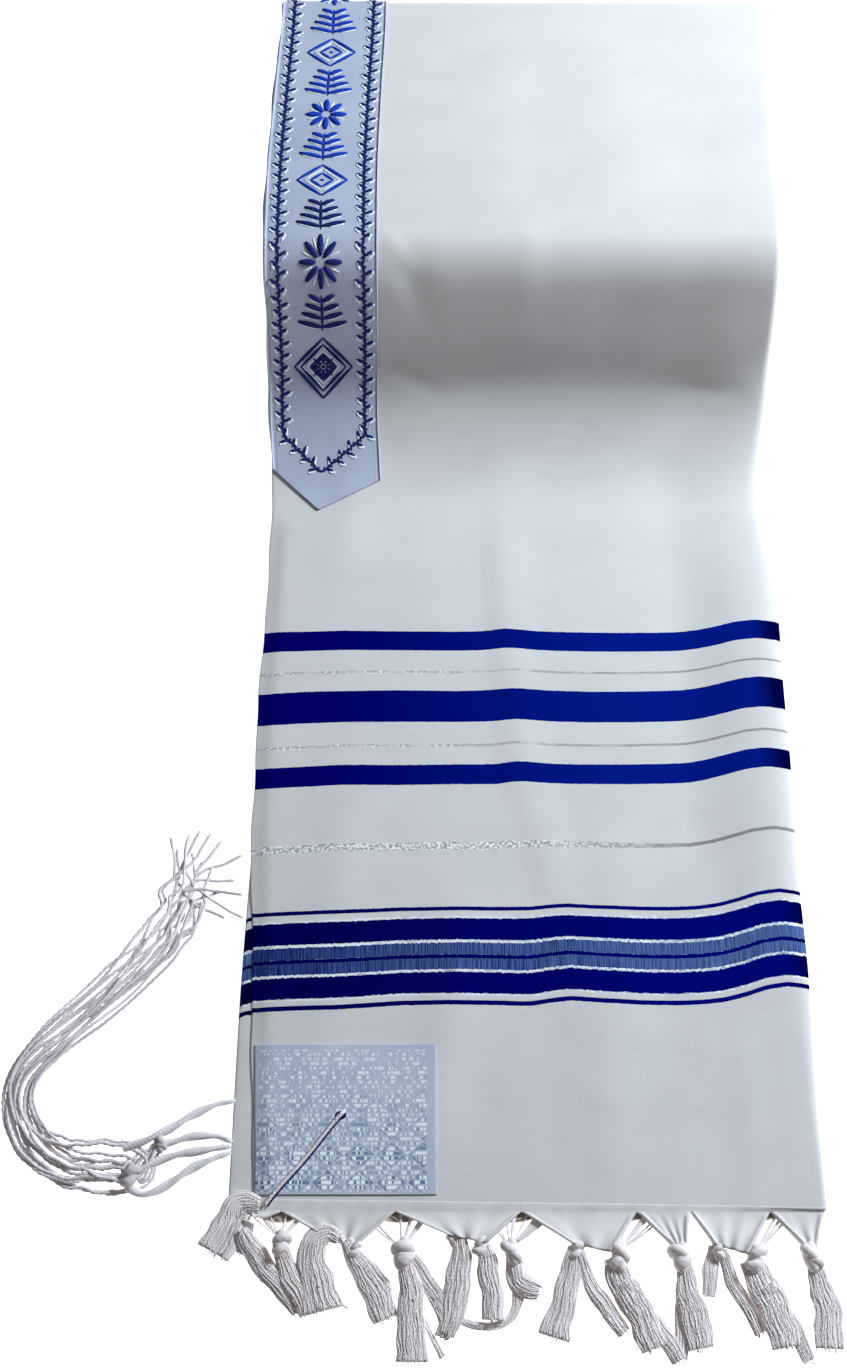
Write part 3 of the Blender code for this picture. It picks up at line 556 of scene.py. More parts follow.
def brocade(shade, u, v, ground):
    """Small woven lozenges of silver and blue dashes; the blue deepens toward the hem."""
    def cell(value, pitch, start):
        return abs(((value + start) / pitch).step("FRACT") - 0.5) * 2.0

    def within(value, low, high):
        return (value > low) * (value < high)

    level = v / 0.0024
    woven = within(level.step("FRACT"), 0.14, 0.80)
    lane = shade.node("CombineXYZ", {"X": u * 560.0, "Y": level.step("FLOOR") * 7.31})
    dash = shade.cloud(lane, 1.0)
    lozenge = cell(u, 0.0162, 0.0050) + cell(v, 0.0136, 0.0010)
    frame = within(u, -0.0012, 0.0860) * within(v, 0.0015, 0.0730)
    inner, between_them = (lozenge < 0.72) * frame, (lozenge > 1.02) * frame
    outline = within(lozenge, 0.78, 0.90) * frame
    deep = v.range(0.012, 0.056, 1.0, 0.18)
    pale = dash.range(0.49, 0.53) * v.range(0.010, 0.060, 0.95, 0.75) * woven
    dark = dash.range(0.50, 0.46) * deep * woven
    colour = shade.mix(pale * (inner | between_them * 0.8), ground, (0.90, 0.97, 0.97))
    colour = shade.mix(dark * inner, colour, (0.10, 0.19, 0.30))
    colour = shade.mix(dark * between_them * 0.55, colour, (0.16, 0.24, 0.42))
    return shade.mix(outline * (deep * dash.range(0.60, 0.40)), colour, (0.06, 0.11, 0.30))


def yarn_material(name, dark, light, gap_shade=0.0):
    """Threads: each has its own tone, with fine twist lines along it; the last argument paints dark lines of
    shade between a hank's threads.
    """
    shade = Shade(name, Roughness=0.80, Specular_IOR_Level=0.15)
    u, v = shade.on_cloth()
    ply = ((u + v) * (2 * math.pi * 2 / 0.004)).step("SINE")
    colour = shade.mix(shade.node("Attribute", {}, output=2, attribute_name="tone"), dark, light)
    colour = shade.mix(shade.noise(100, 60).range(0.4, 0.7, 0.0, 0.25), colour, dark)
    # Painted shade: dark streaks between the threads.
    if gap_shade:
        colour = shade.mix(shade.noise(1300, 50, 3).range(0.50, 0.68, 0.0, gap_shade), colour, dark)
    return shade.dressed(colour, ply + shade.noise(1500, 900), 0.3)


def web_material(name):
    """The fringe's white ground, with the threads that gather to each knot."""
    shade = Shade(name, Roughness=0.85, Specular_IOR_Level=0.08)
    shade.on_cloth()
    threads = shade.noise(700, 45)
    colour = shade.mix(shade.noise(90, 70, 3).range(0.3, 0.7), (0.64, 0.615, 0.62), (0.74, 0.71, 0.71))
    colour = shade.mix(threads.range(0.5, 0.75, 0.0, 0.22), colour, (0.60, 0.57, 0.58))
    return shade.dressed(colour, threads, 0.25, 0.00015)


CLOTH = cloth_material()
SATIN = satin_material("neckband_satin", (0.38, 0.42, 0.56), (0.46, 0.51, 0.63), (0.52, 0.56, 0.67), 0.0298)
PATCH = satin_material("patch_satin", (0.42, 0.47, 0.62), (0.54, 0.58, 0.65), (0.56, 0.60, 0.70))
YARN = yarn_material("yarn", (0.50, 0.45, 0.47), (0.95, 0.88, 0.87), gap_shade=0.30)
WEB = web_material("hem_strip")
CORD = yarn_material("twisted_cord", (0.46, 0.39, 0.41), (0.88, 0.85, 0.88), gap_shade=0.35)
NAVY = yarn_material("navy_thread", (0.004, 0.008, 0.07), (0.012, 0.024, 0.19))
ROYAL = yarn_material("royal_thread", (0.004, 0.030, 0.30), (0.008, 0.060, 0.52))
SILVER = Shade("silver_thread", Base_Color=(0.80, 0.93, 1.0), Roughness=0.35).material
# A brown strip whose colour is painted shade: the shadow under the upper webs, seen between them.
PAINTED_SHADE_STRIP = Shade("painted_shade_strip", Base_Color=(0.42, 0.34, 0.30), Roughness=0.9).material

# ---- the doubled cloth --------------------------------------------------------------------------
ACROSS_UPPER, ACROSS_NOSE, ACROSS_UNDER = 96, 12, 26


def section(along, left, under_left, right, roll, heights):
    """Middle line of the ply across the cloth at each row: x and height, from open edge to open edge."""
    upper, under = STACK - WEAVE / 2, WEAVE / 2
    crest = STACK + ROLL_SCALE * (roll - STACK) - WEAVE / 2
    half = (crest - under) / 2
    depth = np.minimum(NOSE_DEPTH, np.maximum(half, half**2 / (0.8 * CAD_PLY)))
    nose_x = right - WEAVE / 2 - depth
    share = np.concatenate([[0, 0.0014, 0.0042], np.linspace(0.0105, 1, ACROSS_UPPER - 3)])[None]
    x_upper = left + (nose_x - left) * share
    rise = roll_share(x_upper, right, nose_x)
    flat = heights(x_upper, along) - STACK
    lift = brow_lift(along)
    h_upper = upper + flat * (1 - rise) + (crest - upper + lift) * rise
    angle = math.pi * (0.5 - np.arange(1, ACROSS_NOSE) / ACROSS_NOSE)[None]
    x_nose = nose_x + depth * np.cos(angle)
    h_nose = under + half * (1 + np.sin(angle)) + lift
    share = np.concatenate([np.linspace(0, 0.985, ACROSS_UNDER - 3), [0.9925, 0.9966, 1]])[None]
    x_under = nose_x + (under_left - nose_x) * share
    h_under = under + 0 * x_under
    return np.hstack([x_upper, x_nose, x_under]), np.hstack([h_upper, h_nose, h_under])


def hem_reach(x):
    """How far the woven cloth runs out over the fringe's strip, in metres."""
    return np.interp(x, (-0.087, 0.0, 0.060, 0.150, 0.203), (0.0018, 0.0030, 0.0038, 0.0050, 0.0064))


def shawl():
    rows, start = [0.0, 0.0004, 0.0012], 0.0
    for stretch in PROFILE:
        rows += [start + stretch.length * (i + 1) / stretch.rows for i in range(stretch.rows)]
        start += stretch.length
    along = np.array(rows)[:, None]
    wander = 0.0004 * np.sin(along * 61) + 0.0003 * np.sin(along * 143 + 1)
    left = fine(UPPER_LEFT, along) + wander
    right = fine(RIGHT, along) + 0.0004 * np.sin(along * 52 + 2)
    x, height = section(along, left, fine(UNDER_LEFT, along), right, fine(ROLL, along), upper_height)
    both = crease_height(BOTH_CREASES, x, along) + brow_lift(along)
    height[:, -ACROSS_UNDER:] += both[:, -ACROSS_UNDER:]
    points = place(x, along, height)
    points[..., 1] -= hem_reach(x) * np.clip(1 - along / 0.040, 0, 1)
    shift = sweep(x, along)
    shift[:, -ACROSS_UNDER:] = np.linspace(0.0075, -0.0060, ACROSS_UNDER)
    soup = Soup()
    soup.grids(points, stack(lengths(stack(x, height)), along - shift))
    obj = piece("shawl_sheet", soup, [CLOTH], "woven_cloth", "shawl_cloth", wall=WEAVE)
    group = obj.vertex_groups.new(name="wall_share")  # the open edges are worn thin
    rows, columns = x.shape
    for column in range(columns):
        weight = {0: 0.0, 1: 0.55, 2: 0.9}.get(min(column, columns - 1 - column), 1.0)
        group.add([row * columns + column for row in range(rows)], weight, "REPLACE")
    obj.modifiers["wall"].vertex_group = group.name
    obj.modifiers["wall"].thickness_vertex_group = 0.35
    return obj


# ---- the hidden layers: one doubled length lying zigzag, and its far end -------------------------
FOLD_RADIUS = 0.01225
LAYER_HALF = 0.0108
LAYER_Z = (0.0859, 0.0613, 0.0368, 0.0123)
LAYER_ENDS = (0.2610, 0.1380, 0.3198, 0.1170, 0.2350)  # y, from the tuck down
LAYER_ROWS = (20, 26, 29, 20)


def zigzag():
    """The doubled cloth's middle line from the tuck to the far hem: (y, z, half its puffed height)."""
    rows = []

    def run(y, z, half, count=24):
        """Rows from the first to the second y, z and half height."""
        share = np.linspace(0, 1, count, endpoint=False)
        parts = zip((y, z, half), (share, ease(share), ease(share)))
        rows.extend(stack(*(first + (last - first) * grown for (first, last), grown in parts)))

    run((0.3155, LAYER_ENDS[0]), (0.0754, LAYER_Z[0]), (0.0013, LAYER_HALF))
    for layer, count in enumerate(LAYER_ROWS):
        y, z = LAYER_ENDS[layer + 1], LAYER_Z[layer]
        run((LAYER_ENDS[layer], y), (z, z), (LAYER_HALF, LAYER_HALF), count)
        if layer < 3:
            angle = np.linspace(0, math.pi, 22, endpoint=False)
            facing, middle = (-1) ** (layer + 1), (z + LAYER_Z[layer + 1]) / 2
            y = y + facing * FOLD_RADIUS * np.sin(angle)
            rows.extend(stack(y, middle + FOLD_RADIUS * np.cos(angle), LAYER_HALF))
    lying, thin = STACK / 2, STACK / 2 - WEAVE / 2
    run((LAYER_ENDS[-1], 0.2820), (LAYER_Z[-1], lying), (LAYER_HALF, thin))
    run((0.2820, FAR_HEM_Y), (lying, lying), (thin, thin), 23)
    return np.array([*rows, (FAR_HEM_Y, lying, thin)])


def hidden_layers():
    rows = zigzag()
    line = rows[:, :2]
    normal = heading(line)[1]
    # The outer ply is up on the first layer, down on the next, and so on.
    t = lengths(line)[:, None]
    half = rows[:, 2:]
    puffed = np.clip((half - 0.002) / 0.008, 0, 1)
    left = -0.0928 + 0.0016 * np.sin(t * 17) + 0.0011 * np.sin(t * 41 + 1)
    right = 0.2085 + 0.0022 * np.sin(t * 13 + 2) + 0.0010 * np.sin(t * 37)
    right = right * puffed + 0.2120 * (1 - puffed)
    left = left * puffed - 0.0920 * (1 - puffed)
    depth = np.maximum(half, 0.0015) * (0.55 + 0.45 * (1 - puffed))
    nose_x = right - depth
    share = np.linspace(0, 1, 56)[None] ** 1.3  # closer at the open edge
    angle = math.pi * (0.5 - np.arange(1, 14) / 14)[None]

    def sagged(x, fall, wave):
        """Half height of a ply: its open edge falls, and it waves."""
        droop = 1 - (1 - ease((x - left) / 0.020)) * puffed * fall
        return half * droop * (1 - 0.07 * puffed * (1 + wave) / 2)

    outer = left + (nose_x - left) * share
    inner = nose_x + (left + 0.0014 * puffed - nose_x) * share
    x = np.hstack([outer, nose_x + depth * np.cos(angle), inner])
    outer_wave = np.sin(outer * 38 + t * 9) * np.sin(outer * 17 - t * 15 + 1)
    inner_wave = np.sin(inner * 31 - t * 11) * np.sin(inner * 21 + t * 13 + 2)
    off = np.hstack([
        sagged(outer, 0.80 + 0.08 * np.sin(t * 23), outer_wave),
        half * np.sin(angle),
        -sagged(inner, 0.82 + 0.07 * np.sin(t * 29 + 2), inner_wave),
    ])
    y, z = (line[:, i:i + 1] + normal[:, i:i + 1] * off for i in (0, 1))
    soup = Soup()
    # The same stripes lie behind the far hem as behind the near one.
    soup.grids(stack(x, y, np.maximum(z, WEAVE / 2)), stack(lengths(stack(x, off)), t[-1] - t))
    return piece("hidden_layers", soup, [CLOTH], "woven_cloth", "folded_layers", "far_end_cloth", wall=WEAVE)


# ---- neckband and corner patches ----------------------------------------------------------------
BAND_TIP = 0.4043
BAND_WIDTH = 0.0665
BAND_INSET = 0.0008
TRIM = 0.0010


def slab(soup, x, along, place_at, uvs, wall=TRIM):
    """A thin closed slab with soft edges: x and along are grids, place_at sets them at a height."""
    inside = np.minimum(x - x[:, :1], x[:, -1:] - x)
    height = SEAM + wall * (0.5 + 0.5 * np.sqrt(np.clip(inside / 0.0006, 0, 1)))
    soup.shell(place_at(x, along, 0.0002), place_at(x, along, height), uvs)


def edged(start, stop, count, margin=0.0003):
    """Evenly spaced values with two more close to each end, so that a slab's faces stay flat."""
    ends = np.array([0, 1, 3]) * margin
    return np.concatenate([start + ends, np.linspace(start + 0.002, stop - 0.002, count), stop - ends[::-1]])


def band_left(along):
    return fine(UPPER_LEFT, along) + BAND_INSET


def neckband():
    share = edged(-0.5, 0.5, 32, 0.004)[None]
    tip = np.interp(share[0], (-0.5, -0.085, 0.5), (0.0295, 0.0, 0.0215))[None]
    rows = edged(0.0, 1.0, 160, 0.0006)[:, None]
    along = BAND_TIP + tip + (END - BAND_TIP - tip) * rows
    middle = band_left(along) + BAND_WIDTH / 2
    x = middle + BAND_WIDTH * share
    soup = Soup()
    slab(soup, x, along, on_cloth, stack(x - middle, along))
    embroidery(soup)
    return piece("atara_band", soup, (SATIN, NAVY, SILVER, ROYAL), "neckband_satin", "atara")


# Embroidery, in millimetres: across from the band's middle and along from its tip. Every stitch is
# (across, along) of its two ends and its width.
def stitch_rows(soup, rows, tone):
    across0, along0, across1, along1, width = np.array(rows).T[..., None] * 0.001
    t = np.linspace(0, 1, 6)
    along = np.minimum(BAND_TIP + along0 + (along1 - along0) * t, END - 0.001)
    x = band_left(along) + BAND_WIDTH / 2 + across0 + (across1 - across0) * t
    tilt = fine(TILT, along)
    normal = stack(0.0, -np.sin(tilt), np.cos(tilt))
    radius = width / 2 * (0.45 + 0.55 * np.sin(math.pi * t))
    tubes(soup, on_cloth(x, along, SEAM + TRIM + 0.00012), radius, tone, sides=6, flat=0.42, normal=normal)


def vine():
    """A stem with small alternating leaves along both sides of the band, closing above the tip."""
    navy, silver = [], []
    for sign in (-1, 1):
        route = [(sign * 25.2, 402.0), (sign * 25.2, 51.0), (-3.0, 26.0)]
        for (x0, s0), (x1, s1) in zip(route, route[1:]):
            size = math.hypot(x1 - x0, s1 - s0)
            dx, ds = (x1 - x0) / size, (s1 - s0) / size
            count = round(size / 4.2)

            def spot(run, off):
                return x0 + dx * run - ds * off, s0 + ds * run + dx * off

            for number in range(count):
                here, turn = number * size / count, (-1) ** number
                a = spot(here, 0.7 * turn)
                tip = spot(here - 2.2, turn * (0.7 + 3.8 + 0.9 * math.sin(number * 2.1)))
                navy.append((*a, *spot(here + size / count, -0.7 * turn), 2.0))
                navy.append((*a, *tip, 2.2))
                navy.append((*a, *spot(here + 0.9, -1.7 * turn), 1.6))
                silver.append((tip[0] + 0.3, tip[1] - 2.2, tip[0] + 0.6, tip[1] - 0.5, 1.7))
                silver.append((a[0] - ds * turn * 1.4, a[1] - 1.9, tip[0] + 0.2, tip[1] - 1.9, 1.6))
    return navy, silver


def ring_of(middle, half_x, half_s, width):
    corners = [(half_x, middle), (0, middle + half_s), (-half_x, middle), (0, middle - half_s)]
    return [(*a, *b, width) for a, b in zip(corners, corners[1:] + corners[:1])]


def lozenge_motif(middle, half_x, half_s):
    navy = ring_of(middle, half_x, half_s, 2.4) + ring_of(middle, 0.45 * half_x, 0.45 * half_s, 2.0)
    silver = ring_of(middle, 0.72 * half_x, 0.72 * half_s, 1.2)
    navy += [(-1.2, middle, 1.2, middle, 1.8)]
    return navy, silver


def rosette_motif(middle, radius, petals=8):
    def stitch(number, start, stop, width):
        angle = 2 * math.pi * number / petals
        x, s = radius * math.cos(angle), radius * math.sin(angle)
        return start * x, middle + start * s, stop * x, middle + stop * s, width

    navy = [stitch(number, 0.22, 1.0, 0.34 * radius) for number in range(petals)]
    return navy, [stitch(number + 0.5, 0.45, 0.95, 1.1) for number in range(petals)]


def sprig_motif(middle, half, spread):
    navy, silver = [(0, middle - half, 0, middle + half, 2.0)], []
    for number in range(4):
        s = middle - half + (number + 0.4) * half / 2
        top, reach = s + 0.55 * half / 1.6, spread * (1 - 0.16 * number)
        for sign in (-1, 1):
            navy.append((0, s, sign * reach, top, 3.6))
            silver.append((sign * 0.3 * reach, s - 0.9, sign * 0.95 * reach, top - 1.9, 1.1))
    return navy, silver


def embroidery(soup):
    navy, silver = vine()
    royal = []
    motifs = [lozenge_motif(94.0, 17.5, 20.0), lozenge_motif(94.0, 13.5, 15.5), rosette_motif(94.0, 8.0)]
    for number, middle in enumerate(np.arange(130.0, 392.0, 27.0)):
        motifs.append((
            sprig_motif(middle, 11.0, 14.5), rosette_motif(middle, 12.5),
            sprig_motif(middle, 11.0, 14.5), lozenge_motif(middle, 15.0, 12.0),
        )[number % 4])
    for number, (blue, bright) in enumerate(motifs):
        silver += bright
        (navy if number < 6 else royal).extend(blue)
    for number, rows in enumerate((navy, silver, royal)):
        soup.use(1 + number)
        stitch_rows(soup, rows, 0.6)


PATCH_WIDTH = 0.091
PATCH_LENGTH = 0.076
PATCH_INSET = 0.0025
PATCH_HEM_GAP = 0.001
PATCH_WALL = 0.0005  # a thin woven patch, pressed flatter than in the part


def far_top(x, distance, above):
    return stack(x, FAR_HEM_Y - distance, STACK + above)


def corner_patch(name, node, left_at, place_at):
    distance = edged(PATCH_HEM_GAP, PATCH_HEM_GAP + PATCH_LENGTH, 34)[:, None]
    left = left_at(distance) + 0.0016
    right = left_at(0.0) + PATCH_INSET + PATCH_WIDTH
    share = edged(0.0, PATCH_WIDTH, 40)[None] / PATCH_WIDTH
    x = left + (right - left) * share
    distance = distance + 0 * x
    soup = Soup()
    uvs = stack(x - right + PATCH_WIDTH, distance - PATCH_HEM_GAP)
    slab(soup, x, distance, place_at, uvs, wall=PATCH_WALL)
    return piece(name, soup, [PATCH], "patch_satin", node)


# ---- fringe: tables in millimetres, x across the cloth and out from its hem ----------------------
MM = 0.001
STRIP_DEPTH = 7.0
STRIP_LAP = 0.25
KNOT_Z = 5.0
Web = namedtuple("Web", "low high tip_low tip_high out_low out_high tip_z")
Fan = namedtuple("Fan", "low high x out bars")
Knot = namedtuple("Knot", "x out size")
Leg = namedtuple("Leg", "lift route")  # each row of the route: x, out, width
NEAR_WEBS = (
    Web(-86.7, -71.5, -87.0, -78.5, 9.5, 10.5, 5.0),
    Web(-71.5, -14.5, -44.5, -33.0, 22.0, 23.5, 5.0),
    Web(-14.5, 49.0, 12.0, 31.5, 18.5, 22.5, 7.0),
    Web(49.0, 107.0, 73.5, 93.5, 22.5, 27.0, 7.0),
    Web(107.0, 134.0, 124.5, 131.0, 25.0, 25.0, 6.0),
    Web(134.0, 174.0, 143.5, 161.0, 22.5, 28.0, 7.0),
    Web(174.0, 201.2, 189.5, 195.5, 25.0, 24.5, 6.0),
)
NEAR_FANS = (
    Fan(-92, -56, -71.7, 16.5, 9),
    Fan(-38, 6, -11.4, 21.5, 8),
    Fan(28, 72, 43.8, 20.5, 11),
    Fan(84, 130, 96.0, 24.0, 11),
    Fan(152, 190, 163.5, 24.5, 10),
)
NEAR_UPPER_KNOTS = (
    Knot(-34.0, 25.0, 7), Knot(14.5, 21.0, 6), Knot(28.5, 23.5, 9), Knot(75.5, 25.5, 8.5),
    Knot(127.6, 29.0, 12), Knot(146.0, 25.5, 8.5), Knot(192.0, 29.0, 12),
)
NEAR_UNDER_KNOTS = (
    Knot(-71.3, 22.5, 11), Knot(-10.4, 27.5, 13), Knot(44.2, 26.5, 11),
    Knot(97.5, 29.0, 12), Knot(164.5, 29.5, 12),
)
NEAR_UPPER_LEGS = (
    Leg(2.0, ((-82, 4, 7), (-93, 4, 14), (-97, 14, 17), (-104, 27, 18))),
    Leg(1.2, ((-87, 12, 6), (-90, 20, 8), (-93, 26, 7))),
    Leg(0.0, ((-91, 16, 6), (-87, 23, 10), (-77, 35, 11), (-68, 46, 9), (-62, 54.5, 5))),
    Leg(2.4, ((-42, 20, 6), (-47.5, 17.5, 9), (-54, 22, 13), (-55, 33, 15), (-52, 44, 18), (-49.5, 54, 23))),
    Leg(0.4, ((-52, 42, 1), (-45, 47, 1), (-37.5, 52.5, 1.4))),
    Leg(0.2, ((-39, 21, 6), (-29.5, 35, 13), (-22.5, 46.5, 15), (-18, 57.5, 13))),
    Leg(1.4, ((18.2, 19, 6), (18.1, 33, 12), (15.5, 49, 13), (11.5, 65, 8))),
    Leg(2.0, ((30, 22, 6), (32, 34, 11), (34, 46, 11), (33.5, 58, 11))),
    Leg(1.0, ((74.6, 24, 6), (72.5, 37, 11), (68.5, 50, 12), (63.6, 66, 16))),
    Leg(0.2, ((77, 26, 5), (82, 40, 7), (90, 53, 8), (98, 64, 7))),
    Leg(2.0, ((128, 30, 7), (130.7, 46, 12), (132.8, 58, 14.5), (135, 71, 13))),
    Leg(0.2, ((128.5, 34, 5), (127, 49, 6), (126, 63, 7), (124.8, 75.5, 6))),
    Leg(1.0, ((144.8, 24, 6), (142.3, 36, 8), (140.3, 47, 6))),
    Leg(0.4, ((148, 26, 5), (154, 43, 7), (160.5, 54, 7), (164.5, 64, 6))),
    Leg(1.4, ((192.5, 30, 6.5), (196, 43, 11), (198, 56, 14), (197.5, 71, 14))),
)
NEAR_UNDER_LEGS = (
    Leg(1.2, ((-71.4, 23, 7), (-67, 36, 10), (-61, 46, 11), (-58, 54, 8))),
    Leg(2.2, ((-9, 29, 7), (-6.3, 46, 12), (-6, 62, 14), (-6.1, 77, 16))),
    Leg(0.8, ((-6, 29, 6), (6.6, 47, 9), (11.5, 58, 9), (9, 66, 7))),
    Leg(0.2, ((-5, 48, 2), (-0.2, 57, 2.4), (9, 75, 3))),
    Leg(1.2, ((44.5, 27, 7), (45.5, 36, 10), (50.5, 42, 12), (57, 44.5, 9))),
    Leg(0.2, (
        (45, 30, 6), (46.6, 44, 6.5), (46, 51, 5), (42.4, 57, 4),
        (34.9, 60.5, 4), (24, 60, 4), (15, 56, 4), (10, 49, 3),
    )),
    Leg(2.4, ((94, 29, 11), (99.5, 44, 14.5), (107, 57, 14), (112.5, 71, 14))),
    Leg(0.6, ((99, 40, 8), (110, 56, 8.5), (119, 67, 9), (124, 76.5, 8))),
    Leg(2.4, ((162, 30, 11), (168, 45, 16), (173.5, 57, 16), (176.2, 70.5, 14))),
    Leg(0.6, ((169, 42, 8), (179, 58, 8), (184.5, 69, 7.5), (186.5, 76.5, 6.5))),
)
THREADS_PER_MM = 2.2
FAR_THREADS_PER_MM = 1.7
THREAD_RADIUS = 0.00034
THREAD_ROWS = 22
FAR_THREAD_ROWS = 16


def hem_top(x):
    """Height of the doubled cloth's outer surface at the near hem, roll included."""
    right, roll = EDGES[0, 3:5]
    rise = roll_share(x, right, right - 0.004)
    return upper_height(x, 0 * x) * (1 - rise) + (STACK + ROLL_SCALE * (roll - STACK)) * rise


# y of a hem, the way out from it, and its cloth's height and reach over the strip, by x.
Hem = namedtuple("Hem", "y facing top reach")
NEAR = Hem(NEAR_HEM_Y, -1, hem_top, hem_reach)
FAR = Hem(FAR_HEM_Y, 1, lambda x: STACK, lambda x: 0.0)


def webs(soup, hem, rows, level=3.5):
    """The fringe's ground: a white strip along the hem that narrows to each knot, with rolled sides."""
    strip_rows, web_rows = 9, 20
    q = np.concatenate([np.linspace(0, 1, strip_rows), np.ones(web_rows - 1)])[:, None]
    t = np.concatenate([np.zeros(strip_rows), np.linspace(0, 1, web_rows)[1:]])[:, None]
    begun = np.clip(t * 6, 0, 1)
    for number, web in enumerate(rows):
        columns = max(int((web.high - web.low) / 0.7), 24)
        across = np.concatenate([[-1], np.linspace(-0.998, 0.998, columns - 2), [1]])[None]
        share = (across + 1) / 2
        low, high = web.low - STRIP_LAP, web.high + STRIP_LAP
        low, high = low + (web.tip_low - low) * t, high + (web.tip_high - high) * t
        x = low * (1 - share) + high * share
        hem_out = hem.reach(x * MM) / MM - 1.0
        tip_out = web.out_low * (1 - share) + web.out_high * share
        out = hem_out + (STRIP_DEPTH - hem_out) * q + (tip_out - STRIP_DEPTH) * t
        pleats = 2.2 + number * 5 % 3
        fold = 0.9 * t * np.sin(across * math.pi * pleats + number * 1.9 + 2 * t) * (1 - across**2)
        inside = (1 - np.abs(across)) * (high - low) / 2
        rolled = begun * (1.3 * np.exp(-(((inside - 1.5) / 1.1) ** 2)) - 1.2 * np.exp(-((inside / 0.5) ** 2)))
        top = hem.top(x * MM) / MM + 0.02 + (0.06 + 0.05 * (number % 2)) * np.clip(q * 6, 0, 1)
        top = top * (1 - q**2) + level * q**2 + (web.tip_z - level) * ease(t) + fold + rolled
        round_off = 1 - 0.7 * begun * (1 - np.sqrt(1 - (1 - np.clip(inside, 0, 1)) ** 2))
        bottom = np.maximum(top - (0.9 + 2.4 * t**2) * round_off, 0.3)
        top = np.maximum(top, bottom + 0.3)
        y = hem.y / MM + hem.facing * out
        spread = web.low * (1 - share) + web.high * share
        soup.shell(stack(x, y, bottom) * MM, stack(x, y, top) * MM, stack(spread, -10 - out) * MM)


def fans(rng, soup, hem, rows):
    """Bunches of threads from the lower half's hem to a knot, from thin at the left to thick at the right."""
    t = np.linspace(0, 1, 16)
    for fan in rows:
        share = np.sort(np.concatenate([[0, 1], rng.uniform(0, 1, fan.bars - 2)]))
        x = (fan.low + (fan.high - fan.low) * share)[:, None]
        start, bend = (x, 1.0, 1.2), (0.80 * x + 0.20 * fan.x, 9.0, 1.6)
        end = (fan.x + 5.0 * (share[:, None] - 0.5), fan.out + 1.5, 4.6)
        x, out, z = ((1 - t) ** 2 * s + 2 * t * (1 - t) * b + t**2 * e for s, b, e in zip(start, bend, end))
        width = rng.uniform(0.4, 0.9, fan.bars) + 0.5 * share**2 * rng.uniform(0.4, 1.2, fan.bars)
        width = width[:, None] * (1 - 0.25 * t) * MM
        paths = stack(x, hem.y / MM + hem.facing * out, z) * MM
        tones = rng.uniform(0.5, 1.0, fan.bars)
        tubes(soup, paths, width, tones, sides=8, flat=0.6, lobes=4, depth=0.2, pitch=0.05)


def ball_knot(soup, centre, size, turn, tone):
    """Gathered threads wrapped round themselves: a core with two thick wraps over it."""
    t = np.linspace(0, 2 * math.pi, 40, endpoint=False)
    for number, (drop, radius) in enumerate(((-0.16, 0.25), (0.20, 0.21))):
        x, y = np.cos(t), 0.34 * np.sin(t + turn + number * 2.2)
        lean = 0.5 * math.sin(turn + 1.7 * number)
        cos, sin = math.cos(lean), math.sin(lean)
        ring = stack(x * cos - y * sin, x * sin + y * cos, 0.80 * np.sin(t)) * radius * size
        ring += centre + np.array([0.12 * size * math.sin(turn * 3 + 2 * number), -drop * size, 0])
        closed = np.concatenate([ring, ring[:3]])
        tubes(soup, closed, size * (0.24 - 0.03 * number), tone, sides=14, lobes=7, depth=0.06, pitch=0.05)
    core = np.linspace(-1, 1, 15)
    path = stack(0.10 * np.sin(3 * core + turn), core, 0.0) * size * 0.62 + centre
    path[:, 2] = np.maximum(path[:, 2], size * 0.30)
    tubes(soup, path, size * 0.33 * np.sqrt(1.04 - core**2), tone, sides=16, lobes=8, depth=0.08, pitch=0.06)


